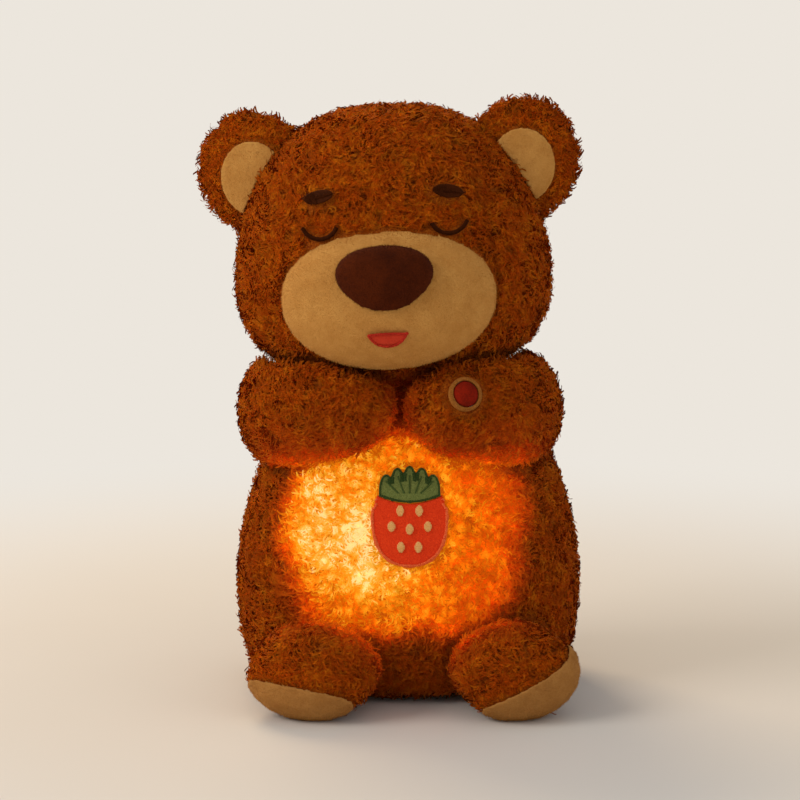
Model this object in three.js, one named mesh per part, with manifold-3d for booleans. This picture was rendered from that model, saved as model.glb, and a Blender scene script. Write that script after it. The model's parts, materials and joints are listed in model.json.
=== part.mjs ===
// Sitting plush bear with a night light behind its tummy, in millimetres.
// +Z is up, the bear faces -Y, and the middle of its seat is the origin.
// The soft pieces are stuffed shells, modelled as the closed forms that they fill.
import * as THREE from "three";
import { mergeVertices, toCreasedNormals } from "three/addons/utils/BufferGeometryUtils.js";
import Module from "manifold-3d";

const wasm = await Module();
wasm.setup();

const degree = Math.PI / 180;
const fullTurn = 2 * Math.PI;
const clearance = 0.3; // between pieces that are sewn or fitted together
const runningGap = 0.6; // between a sewn limb and the body that it swings past
const overrun = 30; // how far a cutting tool runs past what it cuts
const seatCut = 0.5; // the depth to which a soft underside flattens on a table
const creaseAngle = 0.7;

// Stuffed body and head: egg forms that stand on z = 0 of their own frame.
const torso = {
  width: 168,
  height: 174,
  frontDepth: 62,
  backDepth: 60,
  widestShare: 0.3,
  lowFullnessShare: 0.15,
  highFullnessShare: 0.4,
  squareShare: 0.13,
  sideways: 4,
  rings: 16,
  sides: 32,
};
const head = {
  width: 153.5,
  height: 136,
  frontDepth: 65,
  backDepth: 61,
  widestShare: 0.38,
  lowFullnessShare: 0.46,
  highFullnessShare: 0.34,
  squareShare: 0.05,
  rings: 15,
  sides: 30,
  neckDepth: 27.5,
  forward: 6,
  sideways: -0.4,
  turn: -2.5 * degree,
  roll: 3 * degree,
};

// Face pieces, placed in the head's frame. Rise is measured from the head's base.
const muzzle = {
  width: 102,
  height: 69,
  thickness: 60,
  squareShare: 0.05,
  rings: 12,
  sides: 28,
  rise: 49.5,
  proud: 16,
};
const nose = {
  width: 46,
  height: 32,
  thickness: 21,
  squareShare: 0,
  triangleShare: 0.05,
  rings: 8,
  sides: 24,
  lift: 12,
  proud: 8,
};
const mouth = { width: 19, height: 8, drop: 16.5, thickness: 1.2 };
const eye = { radius: 9, stitch: 2, sweep: 132 * degree, spread: 30, rise: 87, thickness: 1.2 };
const brow = { width: 14, height: 6, lean: 12 * degree, spread: 30, rise: 97, thickness: 1.2 };
const ear = {
  width: 58,
  height: 61,
  thickness: 22,
  squareShare: 0,
  rings: 10,
  sides: 26,
  inset: 12,
  rise: 106.5,
  setback: 4,
  turn: 14 * degree,
};
const earLining = { width: 32, height: 36, drop: 3, inward: 3, thickness: 1 };

// Limbs: stuffed tubes with round ends, swept along a spine.
const arm = {
  heightShare: 0.757,
  shoulderAngle: 14 * degree,
  pawAngle: -88.6 * degree,
  shoulderDepth: 10.5,
  pawStandoff: 16,
  pawRise: 13.4,
  elbowHeight: 62,
  elbowThickness: 46,
  pawHeight: 38,
  pawThickness: 38,
  rings: 16,
  sides: 18,
};
const leg = {
  length: 76,
  hipWidth: 56,
  hipHeight: 42,
  footHeight: 45,
  hipDepth: 22,
  rings: 14,
  sides: 20,
  right: { footWidth: 60, spread: 42, splay: 13 * degree, soleOutward: 4, soleRoll: 26 * degree },
  left: { footWidth: 65, spread: 28, splay: 14 * degree, soleOutward: 1, soleRoll: 10 * degree },
};
const sole = {
  width: 52,
  height: 27,
  drop: 1,
  pitch: 38 * degree,
  turn: 10 * degree,
  thickness: 1,
};

// Fruit patch on the tummy, in felt, with raised pips and a leaf crown.
const berry = {
  width: 37,
  height: 38,
  shoulderShare: 0.62,
  offset: 4.5,
  base: 68,
  thickness: 1.6,
  pipWidth: 3.3,
  pipHeight: 5,
  pipProud: 0.6,
  pipAcrossShares: [-0.24, 0.24, -0.46, 0, 0.46, -0.22, 0.22],
  pipUpShares: [0.7, 0.7, 0.51, 0.48, 0.51, 0.26, 0.26],
};
const calyx = {
  width: 29,
  height: 14,
  leaves: 5,
  notchShare: 0.5,
  plumpShare: 0.16,
  fanShare: 0.35,
  curveSteps: 6,
  sag: 3,
  overlap: 5,
  thickness: 1.8,
};

// Push switch in the right paw, built outwards along its own axis from the paw's surface.
const pawSwitch = {
  alongShare: 0.79,
  aroundAngle: 22 * degree,
  housingRadius: 7.6,
  housingHeight: 7.5,
  housingDepth: 14.6,
  stemRadius: 2.8,
  stemLength: 5,
  flangeRadius: 6.6,
  flangeHeight: 1.6,
  travel: 1.5,
  ringOuterRadius: 7.9,
  ringInnerRadius: 6.4,
  ringHeight: 3,
  ringProud: 0.5,
  patchRadius: 6,
  patchCrown: 1.1,
  sides: 24,
};

// Closing flap in the back, held by a hook-and-loop strip along its lower edge.
const flap = { width: 104, height: 94, corner: 18, thickness: 5 };
const gripStrip = { width: 58, height: 5, thickness: 1.2, inset: 1.5 };

// Light engine: a moulded case with a battery bay behind and a milky dome in front.
// Its own frame has y = 0 at the case's front rim, +Y to the back and z = 0 at its underside.
const engine = { width: 88, height: 80, depth: 48, corner: 12, wall: 2.4, frontY: -14, baseHeight: 32 };
const boss = { radius: 3.6, pilotRadius: 1.6, pilotDepth: 10, inset: 6.6, front: 6 };
const board = { thickness: 1.6 };
const reflector = { thickness: 1.5, rimWidth: 2 };
const dome = {
  inset: 3,
  depth: 36,
  wall: 2,
  flange: 2,
  squareShare: 0.23,
  rings: 12,
  sides: 28,
};
const bezel = { thickness: 2.5 };
const led = {
  count: 6,
  ringRadius: 17,
  baseRadius: 2.9,
  baseHeight: 1,
  domeRadius: 2.5,
  height: 7,
  sides: 10,
};
const controller = {
  width: 56,
  chip: 10,
  chipHeight: 1.8,
  capacitorRadius: 4,
  capacitorHeight: 9,
  plugWidth: 8,
  plugHeight: 6,
  plugDepth: 6,
  plugDrop: 22,
};
const cell = {
  count: 3,
  radius: 7.25,
  length: 50.5,
  nubRadius: 2.75,
  nubHeight: 1,
  pitchGap: 0.4,
  sides: 20,
};
const contact = { plate: 0.6, bump: 2, bumpRadius: 2.6, height: 12 };
const door = {
  thickness: 2,
  lip: 6,
  rim: 9,
  corner: 4,
  ribs: 5,
  ribWidth: 1.2,
  ribHeight: 0.8,
  ribLength: 16,
};
const screw = {
  headRadius: 2.6,
  headHeight: 1.4,
  shankRadius: 1.3,
  length: 9,
  slotLength: 3.6,
  slotWidth: 0.8,
  slotDepth: 0.7,
  sides: 12,
};
const wire = {
  radius: 1.1,
  grommetRadius: 3.6,
  grommetLength: 4.4,
  groove: 0.6,
  sides: 8,
  steps: 28,
  seamAngle: 7 * degree,
  seamDepth: 4,
  slack: 16,
  armShares: [0.38, 0.54, 0.7],
};

const material = (colour, roughness, metalness = 0) =>
  new THREE.MeshStandardMaterial({ color: colour, roughness, metalness });
const plush = material(0x8f4a1b, 0.95);
const cream = material(0xdcb989, 0.9);
const noseVelour = material(0x4a1f0e, 0.85);
const brownThread = material(0x35170b, 0.8);
const mouthFelt = material(0xc23a26, 0.85);
const berryFelt = material(0xb7342a, 0.85);
const leafFelt = material(0x3f6a3a, 0.85);
const ringThread = material(0xb98a4a, 0.8);
const gripTape = material(0x2b2320, 0.9);
const whiteAbs = material(0xe9e6df, 0.45);
const milkyDome = material(0xf6efe0, 0.35);
const boardGreen = material(0x1f5a36, 0.5);
const ledResin = material(0xfff1cc, 0.2);
const cellSleeve = material(0x2e4a6b, 0.4);
const nickel = material(0xbfc2c4, 0.3, 1);
const steel = material(0x9a9da0, 0.35, 1);
const wireJacket = material(0x1c1a19, 0.6);
const rubber = material(0x2a2827, 0.8);

// Geometry to solid and back

function solidOf(geometry) {
  const bare = (geometry.index ? geometry.toNonIndexed() : geometry).clone();
  bare.deleteAttribute("normal");
  bare.deleteAttribute("uv");
  const merged = mergeVertices(bare);
  const triVerts = new Uint32Array(merged.index.array);
  const vertProperties = merged.attributes.position.array;
  const solid = new wasm.Manifold(new wasm.Mesh({ numProp: 3, vertProperties, triVerts }));
  if (solid.volume() > 0) return solid;
  return new wasm.Manifold(new wasm.Mesh({ numProp: 3, vertProperties, triVerts: triVerts.reverse() }));
}

function geometryOf(solid) {
  const { numProp, numVert, vertProperties, triVerts } = solid.getMesh();
  const positions = new Float32Array(3 * numVert);
  for (let i = 0; i < numVert; i++)
    positions.set(vertProperties.subarray(i * numProp, i * numProp + 3), 3 * i);
  const geometry = new THREE.BufferGeometry();
  geometry.setAttribute("position", new THREE.BufferAttribute(positions, 3));
  geometry.setIndex(new THREE.BufferAttribute(new Uint32Array(triVerts), 1));
  return toCreasedNormals(geometry, creaseAngle);
}

function addMesh(parent, name, solid, finish) {
  const mesh = new THREE.Mesh(geometryOf(solid), finish);
  mesh.name = name;
  parent.add(mesh);
  return mesh;
}

const moved = (solid, matrix) => solid.transform(matrix.elements);
const shifted = (solid, x, y, z) => solid.translate([x, y, z]);
const mirrored = (solid) => solid.mirror([1, 0, 0]);
const largestOf = (solid) => solid.decompose().sort((a, b) => b.volume() - a.volume())[0];

// The matrix of a frame that looks along facing, with its own -Y on that direction and its z kept up.
function facingFrame(origin, facing) {
  const back = facing.clone().normalize().negate();
  const right = new THREE.Vector3().crossVectors(back, new THREE.Vector3(0, 0, 1)).normalize();
  const up = new THREE.Vector3().crossVectors(right, back);
  return new THREE.Matrix4().makeBasis(right, back, up).setPosition(origin);
}

// Forms

// A closed surface made of rings between two poles.
function closedGrid(rings, sides, pointAt) {
  const points = [pointAt(0, 0)];
  for (let i = 1; i < rings; i++)
    for (let j = 0; j < sides; j++) points.push(pointAt(i / rings, (j / sides) * fullTurn));
  points.push(pointAt(1, 0));
  const at = (i, j) => 1 + (i - 1) * sides + (j % sides);
  const faces = [];
  for (let j = 0; j < sides; j++) {
    faces.push(0, at(1, j + 1), at(1, j));
    for (let i = 1; i < rings - 1; i++) {
      faces.push(at(i, j), at(i, j + 1), at(i + 1, j + 1));
      faces.push(at(i, j), at(i + 1, j + 1), at(i + 1, j));
    }
    faces.push(points.length - 1, at(rings - 1, j), at(rings - 1, j + 1));
  }
  const geometry = new THREE.BufferGeometry().setFromPoints(points);
  return solidOf(geometry.setIndex(faces));
}

const rounded = (value, squareShare) => Math.sign(value) * Math.abs(value) ** (1 - squareShare);

// How wide an egg form is at a share of its height, as a share of its full width.
function girthShare({ widestShare, lowFullnessShare, highFullnessShare }, upShare) {
  const rise = Math.log(1 / 2) / Math.log(widestShare);
  const fullness = upShare < widestShare ? lowFullnessShare : highFullnessShare;
  return Math.max(0, Math.sin(Math.PI * upShare ** rise)) ** fullness;
}

function eggPoint(egg, upShare, angle, grow) {
  const girth = girthShare(egg, upShare);
  const across = rounded(Math.cos(angle), egg.squareShare);
  const along = rounded(Math.sin(angle), egg.squareShare);
  const depth = (along < 0 ? egg.frontDepth : egg.backDepth) + grow;
  const height = egg.height + 2 * grow;
  const halfWidth = egg.width / 2 + grow;
  return new THREE.Vector3(halfWidth * girth * across, depth * girth * along, upShare * height - grow);
}

const eggForm = (egg, grow = 0) =>
  closedGrid(egg.rings, egg.sides, (share, angle) =>
    eggPoint(egg, (1 - Math.cos(Math.PI * share)) / 2, angle, grow),
  );

// A stuffed pad that faces -Y, with its middle at the origin. Its outline may lean to a rounded triangle.
function pillowForm(pad, grow = 0) {
  const lobe = (angle) => 1 + (pad.triangleShare ?? 0) * Math.cos(3 * angle - Math.PI / 2);
  return closedGrid(pad.rings, pad.sides, (share, angle) => {
    const out = Math.sin(Math.PI * share) * lobe(angle);
    return new THREE.Vector3(
      (pad.width / 2 + grow) * out * rounded(Math.cos(angle), pad.squareShare),
      (pad.thickness / 2 + grow) * Math.cos(Math.PI * share),
      (pad.height / 2 + grow) * out * rounded(Math.sin(angle), pad.squareShare),
    );
  });
}

// The frame on a spine at a distance from its start, straight past both ends.
function spineFrame(spine, distance) {
  const length = spine.getLength();
  const share = Math.min(Math.max(distance / length, 0), 1);
  const tangent = spine.getTangentAt(share);
  const centre = spine.getPointAt(share).addScaledVector(tangent, distance - share * length);
  const side = new THREE.Vector3(0, 0, 1).cross(tangent).normalize();
  const up = new THREE.Vector3().crossVectors(tangent, side);
  return { centre, tangent, side, up };
}

// A stuffed limb: sectionAt(share) gives half its thickness and half its height, and both ends are round.
function limbForm(spine, sectionAt, { rings, sides }, grow = 0) {
  const length = spine.getLength();
  const roundEnd = (distance, radius) =>
    distance < radius ? Math.sqrt(Math.max(0, 1 - (1 - distance / radius) ** 2)) : 1;
  return closedGrid(rings, sides, (share, angle) => {
    const distance = ((1 - Math.cos(Math.PI * share)) / 2) * (length + 2 * grow) - grow;
    const [thick, high] = sectionAt(Math.min(Math.max(distance / length, 0), 1));
    const fromEnd = Math.min(distance + grow, length + grow - distance);
    const taper = roundEnd(fromEnd, Math.min(thick, high) + grow);
    const { centre, side, up } = spineFrame(spine, distance);
    return centre
      .addScaledVector(side, (thick + grow) * taper * Math.cos(angle))
      .addScaledVector(up, (high + grow) * taper * Math.sin(angle));
  });
}

const between = (from, to, share) => from + (to - from) * share;

// A slab with its outline in XZ, between two places along Y.
function slab(outline, fromY, toY, curveSegments = 3) {
  const settings = { depth: toY - fromY, bevelEnabled: false, curveSegments };
  const made = new THREE.ExtrudeGeometry(outline, settings);
  return solidOf(made.rotateX(Math.PI / 2).translate(0, toY, 0));
}

function roundedRectangle(width, height, corner) {
  const x = width / 2;
  const z = height / 2;
  const outline = new THREE.Shape();
  outline.absarc(x - corner, z - corner, corner, 0, Math.PI / 2);
  outline.absarc(corner - x, z - corner, corner, Math.PI / 2, Math.PI);
  outline.absarc(corner - x, corner - z, corner, Math.PI, 1.5 * Math.PI);
  outline.absarc(x - corner, corner - z, corner, 1.5 * Math.PI, fullTurn);
  return outline;
}

function rectangle(width, height) {
  const corners = [[-1, -1], [1, -1], [1, 1], [-1, 1]];
  return new THREE.Shape(corners.map(([x, z]) => new THREE.Vector2((x * width) / 2, (z * height) / 2)));
}

function ellipse(width, height) {
  const quarter = Math.PI / 2;
  const outline = new THREE.Shape();
  for (let i = 0; i < 4; i++)
    outline.absellipse(0, 0, width / 2, height / 2, i * quarter, (i + 1) * quarter);
  return outline;
}

// A turned piece on the Y axis. The profile gives radius and y, from the axis back to the axis.
function turned(profile, sides) {
  const lathe = new THREE.LatheGeometry(profile.map(([radius, y]) => new THREE.Vector2(radius, y)), sides);
  return solidOf(lathe);
}

const disc = (radius, fromY, toY, sides) =>
  turned([[0, fromY], [radius, fromY], [radius, toY], [0, toY]], sides);

// A patch sewn on a form: the outline is pushed out from the form's middle, and it follows the surface.
function applique(outline, frame, carrierAt, thickness, reach, curveSegments) {
  const prism = moved(slab(outline, -reach, 0, curveSegments), frame);
  return largestOf(prism.intersect(carrierAt(clearance + thickness)).subtract(carrierAt(clearance)));
}

const frameAt = (x, y, z, turn = 0, pitch = 0, roll = 0) =>
  new THREE.Matrix4().compose(
    new THREE.Vector3(x, y, z),
    new THREE.Quaternion().setFromEuler(new THREE.Euler(pitch, roll, turn, "ZXY")),
    new THREE.Vector3(1, 1, 1),
  );

const tableReach = 2 * torso.width;
const tableOutline = roundedRectangle(2 * tableReach, 2 * tableReach, overrun);
const belowTable = shifted(slab(tableOutline, -tableReach, tableReach), 0, 0, -tableReach);

// The four large forms in the part's frame, which cut one another

const torsoAt = (grow) => shifted(eggForm(torso, grow), torso.sideways, 0, -seatCut);
const headBase = torso.height - seatCut - head.neckDepth;
const headFrame = frameAt(head.sideways, -head.forward, headBase, head.turn, 0, -head.roll);
const headAt = (grow) => eggForm(head, grow);

const torsoPoint = (upShare, angle, standoff) => {
  const point = eggPoint(torso, upShare, angle, 0);
  const out = new THREE.Vector3(Math.cos(angle), Math.sin(angle), 0);
  return point.addScaledVector(out, standoff);
};

function armSpine() {
  const stations = [0, 1 / 3, 2 / 3, 1];
  return new THREE.CatmullRomCurve3(
    stations.map((share) =>
      torsoPoint(
        arm.heightShare,
        between(arm.shoulderAngle, arm.pawAngle, share),
        between(-arm.shoulderDepth, arm.pawStandoff, share),
      ).add(new THREE.Vector3(0, 0, arm.pawRise * share)),
    ),
  );
}

const rightArmSpine = armSpine();
const armSection = (share) => [
  between(arm.elbowThickness, arm.pawThickness, share ** 2) / 2,
  between(arm.elbowHeight, arm.pawHeight, share ** 2) / 2,
];
const armAt = (grow) => limbForm(rightArmSpine, armSection, arm, grow);

function legSpine({ spread, splay }) {
  const hip = new THREE.Vector3(spread, -leg.hipDepth, leg.hipHeight / 2 - seatCut);
  const run = new THREE.Vector3(Math.sin(splay), -Math.cos(splay), 0);
  const toe = hip.clone().addScaledVector(run, leg.length).setZ(leg.footHeight / 2 - seatCut);
  return new THREE.CatmullRomCurve3([hip, hip.clone().lerp(toe, 1 / 2), toe]);
}

const legSection = (footWidth) => (share) => [
  between(leg.hipWidth, footWidth, share) / 2,
  between(leg.hipHeight, leg.footHeight, share) / 2,
];

// Head: stuffed ball, muzzle, nose, mouth, sleeping eyes, brows and lined ears

const muzzleCentreY = muzzle.thickness / 2 - muzzle.proud - head.frontDepth;
const muzzleAt = (grow) => shifted(pillowForm(muzzle, grow), 0, muzzleCentreY, muzzle.rise);
const muzzleFront = muzzleCentreY - muzzle.thickness / 2;
const noseCentreY = muzzleFront + nose.thickness / 2 - nose.proud;
const noseAt = (grow) => shifted(pillowForm(nose, grow), 0, noseCentreY, muzzle.rise + nose.lift);

function mouthOutline() {
  const outline = new THREE.Shape();
  outline.moveTo(-mouth.width / 2, mouth.height / 3);
  outline.quadraticCurveTo(0, mouth.height / 2, mouth.width / 2, mouth.height / 3);
  outline.quadraticCurveTo(mouth.width / 3, -mouth.height / 2, 0, -mouth.height / 2);
  outline.quadraticCurveTo(-mouth.width / 3, -mouth.height / 2, -mouth.width / 2, mouth.height / 3);
  return outline;
}

// A sleeping eye is a band of stitches bent down like a smile.
function eyeOutline() {
  const start = -Math.PI / 2 - eye.sweep / 2;
  const outline = new THREE.Shape();
  outline.absarc(0, 0, eye.radius + eye.stitch / 2, start, start + eye.sweep, false);
  outline.absarc(0, 0, eye.radius - eye.stitch / 2, start + eye.sweep, start, true);
  return outline;
}

function earFrame() {
  return frameAt(head.width / 2 - ear.inset, ear.setback, ear.rise, ear.turn);
}

function addHead(parent) {
  const group = new THREE.Group();
  group.applyMatrix4(headFrame);
  parent.add(group);
  const headReach = head.frontDepth + overrun;
  const torsoHere = moved(torsoAt(clearance), headFrame.clone().invert());
  addMesh(group, "head", headAt(0).subtract(torsoHere), plush);
  const onHead = (outline, x, z, roll, thickness) => {
    const patch = applique(outline, frameAt(x, 0, z, 0, 0, roll), headAt, thickness, headReach);
    return patch.subtract(muzzleAt(clearance));
  };

  addMesh(group, "muzzle", largestOf(muzzleAt(0).subtract(headAt(clearance))), cream);
  addMesh(group, "nose", largestOf(noseAt(0).subtract(muzzleAt(clearance))), noseVelour);
  const mouthFrame = frameAt(0, muzzleCentreY, muzzle.rise - mouth.drop);
  const lips = applique(mouthOutline(), mouthFrame, muzzleAt, mouth.thickness, muzzle.thickness + overrun);
  addMesh(group, "mouth_patch", lips, mouthFelt);

  const rightEye = largestOf(onHead(eyeOutline(), eye.spread, eye.rise, 0, eye.thickness));
  const browOutline = ellipse(brow.width, brow.height);
  const rightBrow = onHead(browOutline, brow.spread, brow.rise, brow.lean, brow.thickness);
  const rightEar = largestOf(moved(pillowForm(ear), earFrame()).subtract(headAt(clearance)));
  const rightLining = largestOf(
    applique(
      ellipse(earLining.width, earLining.height),
      earFrame().multiply(frameAt(-earLining.inward, 0, -earLining.drop)),
      (grow) => moved(pillowForm(ear, grow), earFrame()),
      earLining.thickness,
      ear.thickness + overrun,
    ).subtract(headAt(clearance)),
  );
  for (const [side, flip] of [["right", (solid) => solid], ["left", mirrored]]) {
    addMesh(group, "eye_" + side, flip(rightEye), brownThread);
    addMesh(group, "brow_" + side, flip(rightBrow), brownThread);
    addMesh(group, "ear_" + side, flip(rightEar), plush);
    addMesh(group, "ear_lining_" + side, flip(rightLining), cream);
  }
}

// Torso: hollow for the light engine, with a flap in the back and a fruit patch in front

const engineMiddle = engine.baseHeight + engine.height / 2;
const domeWidth = engine.width - 2 * dome.inset;
const domeHeight = engine.height - 2 * dome.inset;
const plugRise = engine.height - controller.plugDrop;
const engineBack = engine.frontY + engine.depth;
const backwards = frameAt(0, 0, engineMiddle, Math.PI);
const gripDepth = flap.thickness + 2 * gripStrip.thickness + 3 * clearance;
const domeFront = bezel.thickness + dome.flange + 2 * clearance + dome.depth;

function backPrism(width, height, corner) {
  return moved(slab(roundedRectangle(width, height, corner), -torso.backDepth - overrun, 0), backwards);
}

function domeForm(grow) {
  const pad = { ...dome, width: domeWidth, height: domeHeight, thickness: 2 * dome.depth };
  return pillowForm(pad, grow);
}

function pocket() {
  const width = engine.width + 2 * clearance;
  const height = engine.height + 2 * clearance;
  const front = engine.frontY - domeFront + dome.depth - 2 * clearance - screw.headHeight;
  const mouthway = roundedRectangle(width, height, engine.corner + clearance);
  const hole = slab(mouthway, front, torso.backDepth + overrun);
  const domeRoom = shifted(domeForm(clearance), 0, engine.frontY - domeFront + dome.depth, 0);
  const lipWay = disc(wire.grommetRadius + clearance, -overrun, wire.grommetLength, led.sides);
  const lipRoom = lipWay.rotate([0, 0, -90]);
  const grommetRoom = shifted(lipRoom, engine.width / 2, leadY, plugRise - engine.height / 2);
  return shifted(hole.add(domeRoom).add(grommetRoom), 0, 0, engineMiddle);
}

function addTorso(parent) {
  const windowWidth = flap.width + 2 * clearance;
  const windowHeight = flap.height + 2 * clearance;
  const flapWindow = backPrism(windowWidth, windowHeight, flap.corner + clearance);
  const recess = flapWindow.subtract(torsoAt(-gripDepth));
  const stuffed = torsoAt(0).subtract(belowTable).subtract(recess);
  addMesh(parent, "torso", largestOf(stuffed.subtract(pocket()).subtract(wireTube(clearance))), plush);

  const panel = backPrism(flap.width, flap.height, flap.corner).intersect(torsoAt(0));
  addMesh(parent, "back_flap", largestOf(panel.subtract(torsoAt(-flap.thickness))), plush);

  const stripOutline = roundedRectangle(gripStrip.width, gripStrip.height, gripStrip.height / 3);
  const stripZ = (gripStrip.height - flap.height) / 2 + gripStrip.inset;
  const stripPrism = slab(stripOutline, -torso.backDepth - overrun, 0);
  const stripBand = shifted(moved(stripPrism, backwards), 0, 0, stripZ);
  const strip = (depth) =>
    largestOf(stripBand.intersect(torsoAt(-depth)).subtract(torsoAt(-depth - gripStrip.thickness)));
  addMesh(parent, "hook_strip", strip(flap.thickness + clearance), gripTape);
  addMesh(parent, "loop_strip", strip(flap.thickness + 2 * clearance + gripStrip.thickness), gripTape);
}

function berryOutline() {
  const half = berry.width / 2;
  const shoulder = berry.height * berry.shoulderShare;
  const outline = new THREE.Shape();
  outline.moveTo(0, 0);
  outline.bezierCurveTo(0.7 * half, 0, half, 0.4 * shoulder, half, shoulder);
  outline.bezierCurveTo(half, berry.height, half / 3, berry.height, 0, berry.height);
  outline.bezierCurveTo(-half / 3, berry.height, -half, berry.height, -half, shoulder);
  outline.bezierCurveTo(-half, 0.4 * shoulder, -0.7 * half, 0, 0, 0);
  return outline;
}

// A crown of round leaves above a sagging lower edge, grown all round to cut its room.
function calyxOutline(grow = 0) {
  const half = calyx.width / 2 + grow;
  const step = (2 * half) / calyx.leaves;
  const notchAt = (x) => grow + calyx.height * calyx.notchShare * Math.sqrt(1 - (x / half) ** 2);
  const outline = new THREE.Shape();
  outline.moveTo(half, 0);
  for (let i = 1; i <= calyx.leaves; i++) {
    const start = half - (i - 1) * step;
    const end = start - step;
    const startZ = i > 1 ? notchAt(start) : 0;
    const endZ = i < calyx.leaves ? notchAt(end) : 0;
    const middle = (start + end) / 2;
    const tip = (calyx.height + grow) * Math.sqrt(1 - (middle / (half + calyx.fanShare * step)) ** 2);
    const handleZ = (8 * tip - startZ - endZ) / 6;
    const flare = calyx.plumpShare * step;
    outline.bezierCurveTo(start + flare, handleZ, end - flare, handleZ, end, endZ);
  }
  outline.quadraticCurveTo(0, -2 * (calyx.sag + grow), half, 0);
  return outline;
}

function addBerryPatch(parent) {
  const reach = torso.frontDepth + overrun;
  const sewOn = (outline, x, z, thickness, curveSegments) => {
    const place = frameAt(berry.offset + x, 0, berry.base + z);
    return applique(outline, place, torsoAt, thickness, reach, curveSegments);
  };
  const crownRise = berry.height - calyx.overlap;
  const crown = sewOn(calyxOutline(), 0, crownRise, calyx.thickness, calyx.curveSteps);
  let fruit = sewOn(berryOutline(), 0, 0, berry.thickness);
  berry.pipAcrossShares.forEach((across, i) => {
    const pip = sewOn(
      ellipse(berry.pipWidth, berry.pipHeight),
      (across * berry.width) / 2,
      berry.pipUpShares[i] * berry.height,
      berry.thickness + berry.pipProud,
      1,
    );
    fruit = fruit.add(pip);
  });
  const crownPrism = slab(calyxOutline(clearance), -reach, 0, calyx.curveSteps);
  const crownRoom = shifted(crownPrism, berry.offset, 0, berry.base + crownRise);
  addMesh(parent, "fruit_patch", largestOf(fruit.subtract(crownRoom)), berryFelt);
  addMesh(parent, "fruit_leaves", crown, leafFelt);
}

// Arms, and the push switch in the right paw

// The outward frame on the right arm where the switch sits: its -Y points out of the paw.
function switchFrame() {
  const along = rightArmSpine.getLength() * pawSwitch.alongShare;
  const { centre, side, up } = spineFrame(rightArmSpine, along);
  const [thick, high] = armSection(pawSwitch.alongShare);
  const outward = side.clone().multiplyScalar(Math.cos(pawSwitch.aroundAngle) / thick);
  outward.addScaledVector(up, Math.sin(pawSwitch.aroundAngle) / high);
  const surface = centre
    .addScaledVector(side, thick * Math.cos(pawSwitch.aroundAngle))
    .addScaledVector(up, high * Math.sin(pawSwitch.aroundAngle));
  return facingFrame(surface, outward);
}

const housingTop = pawSwitch.housingDepth - pawSwitch.housingHeight;
const flangeBottom = housingTop - pawSwitch.travel - clearance;
const flangeTop = flangeBottom - pawSwitch.flangeHeight;

// The lead runs from the controller's plug, through the case and the stuffing, along the arm to the switch.
function wireCurve() {
  const length = rightArmSpine.getLength();
  const inArm = (share) => spineFrame(rightArmSpine, length * share).centre;
  const lower = pawSwitch.housingDepth + clearance;
  const underSwitch = (depth) => new THREE.Vector3(0, depth, 0).applyMatrix4(switchFrame());
  const leanOut = new THREE.Vector3(torso.sideways, 0, 0);
  const atSeam = (standoff) => torsoPoint(arm.heightShare, wire.seamAngle, standoff).add(leanOut);
  const plugZ = engine.baseHeight + plugRise;
  const plugX = controller.width / 2 + clearance;
  const caseSide = engine.width / 2;
  return new THREE.CatmullRomCurve3([
    new THREE.Vector3(plugX, leadY, plugZ),
    new THREE.Vector3(between(plugX, caseSide, 1 / 2), leadY, plugZ),
    new THREE.Vector3(caseSide, leadY, plugZ),
    new THREE.Vector3(caseSide + wire.grommetLength, leadY, plugZ),
    atSeam(-wire.seamDepth).setZ(plugZ + wire.slack),
    atSeam(-wire.seamDepth / 2),
    atSeam(wire.seamDepth).setY(0),
    ...wire.armShares.map(inArm),
    underSwitch(lower + 2 * wire.radius),
    underSwitch(lower),
  ]);
}

const plugMiddle = engine.depth - bayDepth() - engine.wall - board.thickness - controller.plugDepth / 2;
const leadY = engine.frontY + plugMiddle;

function wireTube(grow) {
  const outline = new THREE.Shape().absarc(0, 0, wire.radius + grow, 0, fullTurn);
  const made = new THREE.ExtrudeGeometry(outline, {
    steps: wire.steps,
    bevelEnabled: false,
    curveSegments: wire.sides / 2,
    extrudePath: wireCurve(),
  });
  return solidOf(made);
}

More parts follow.
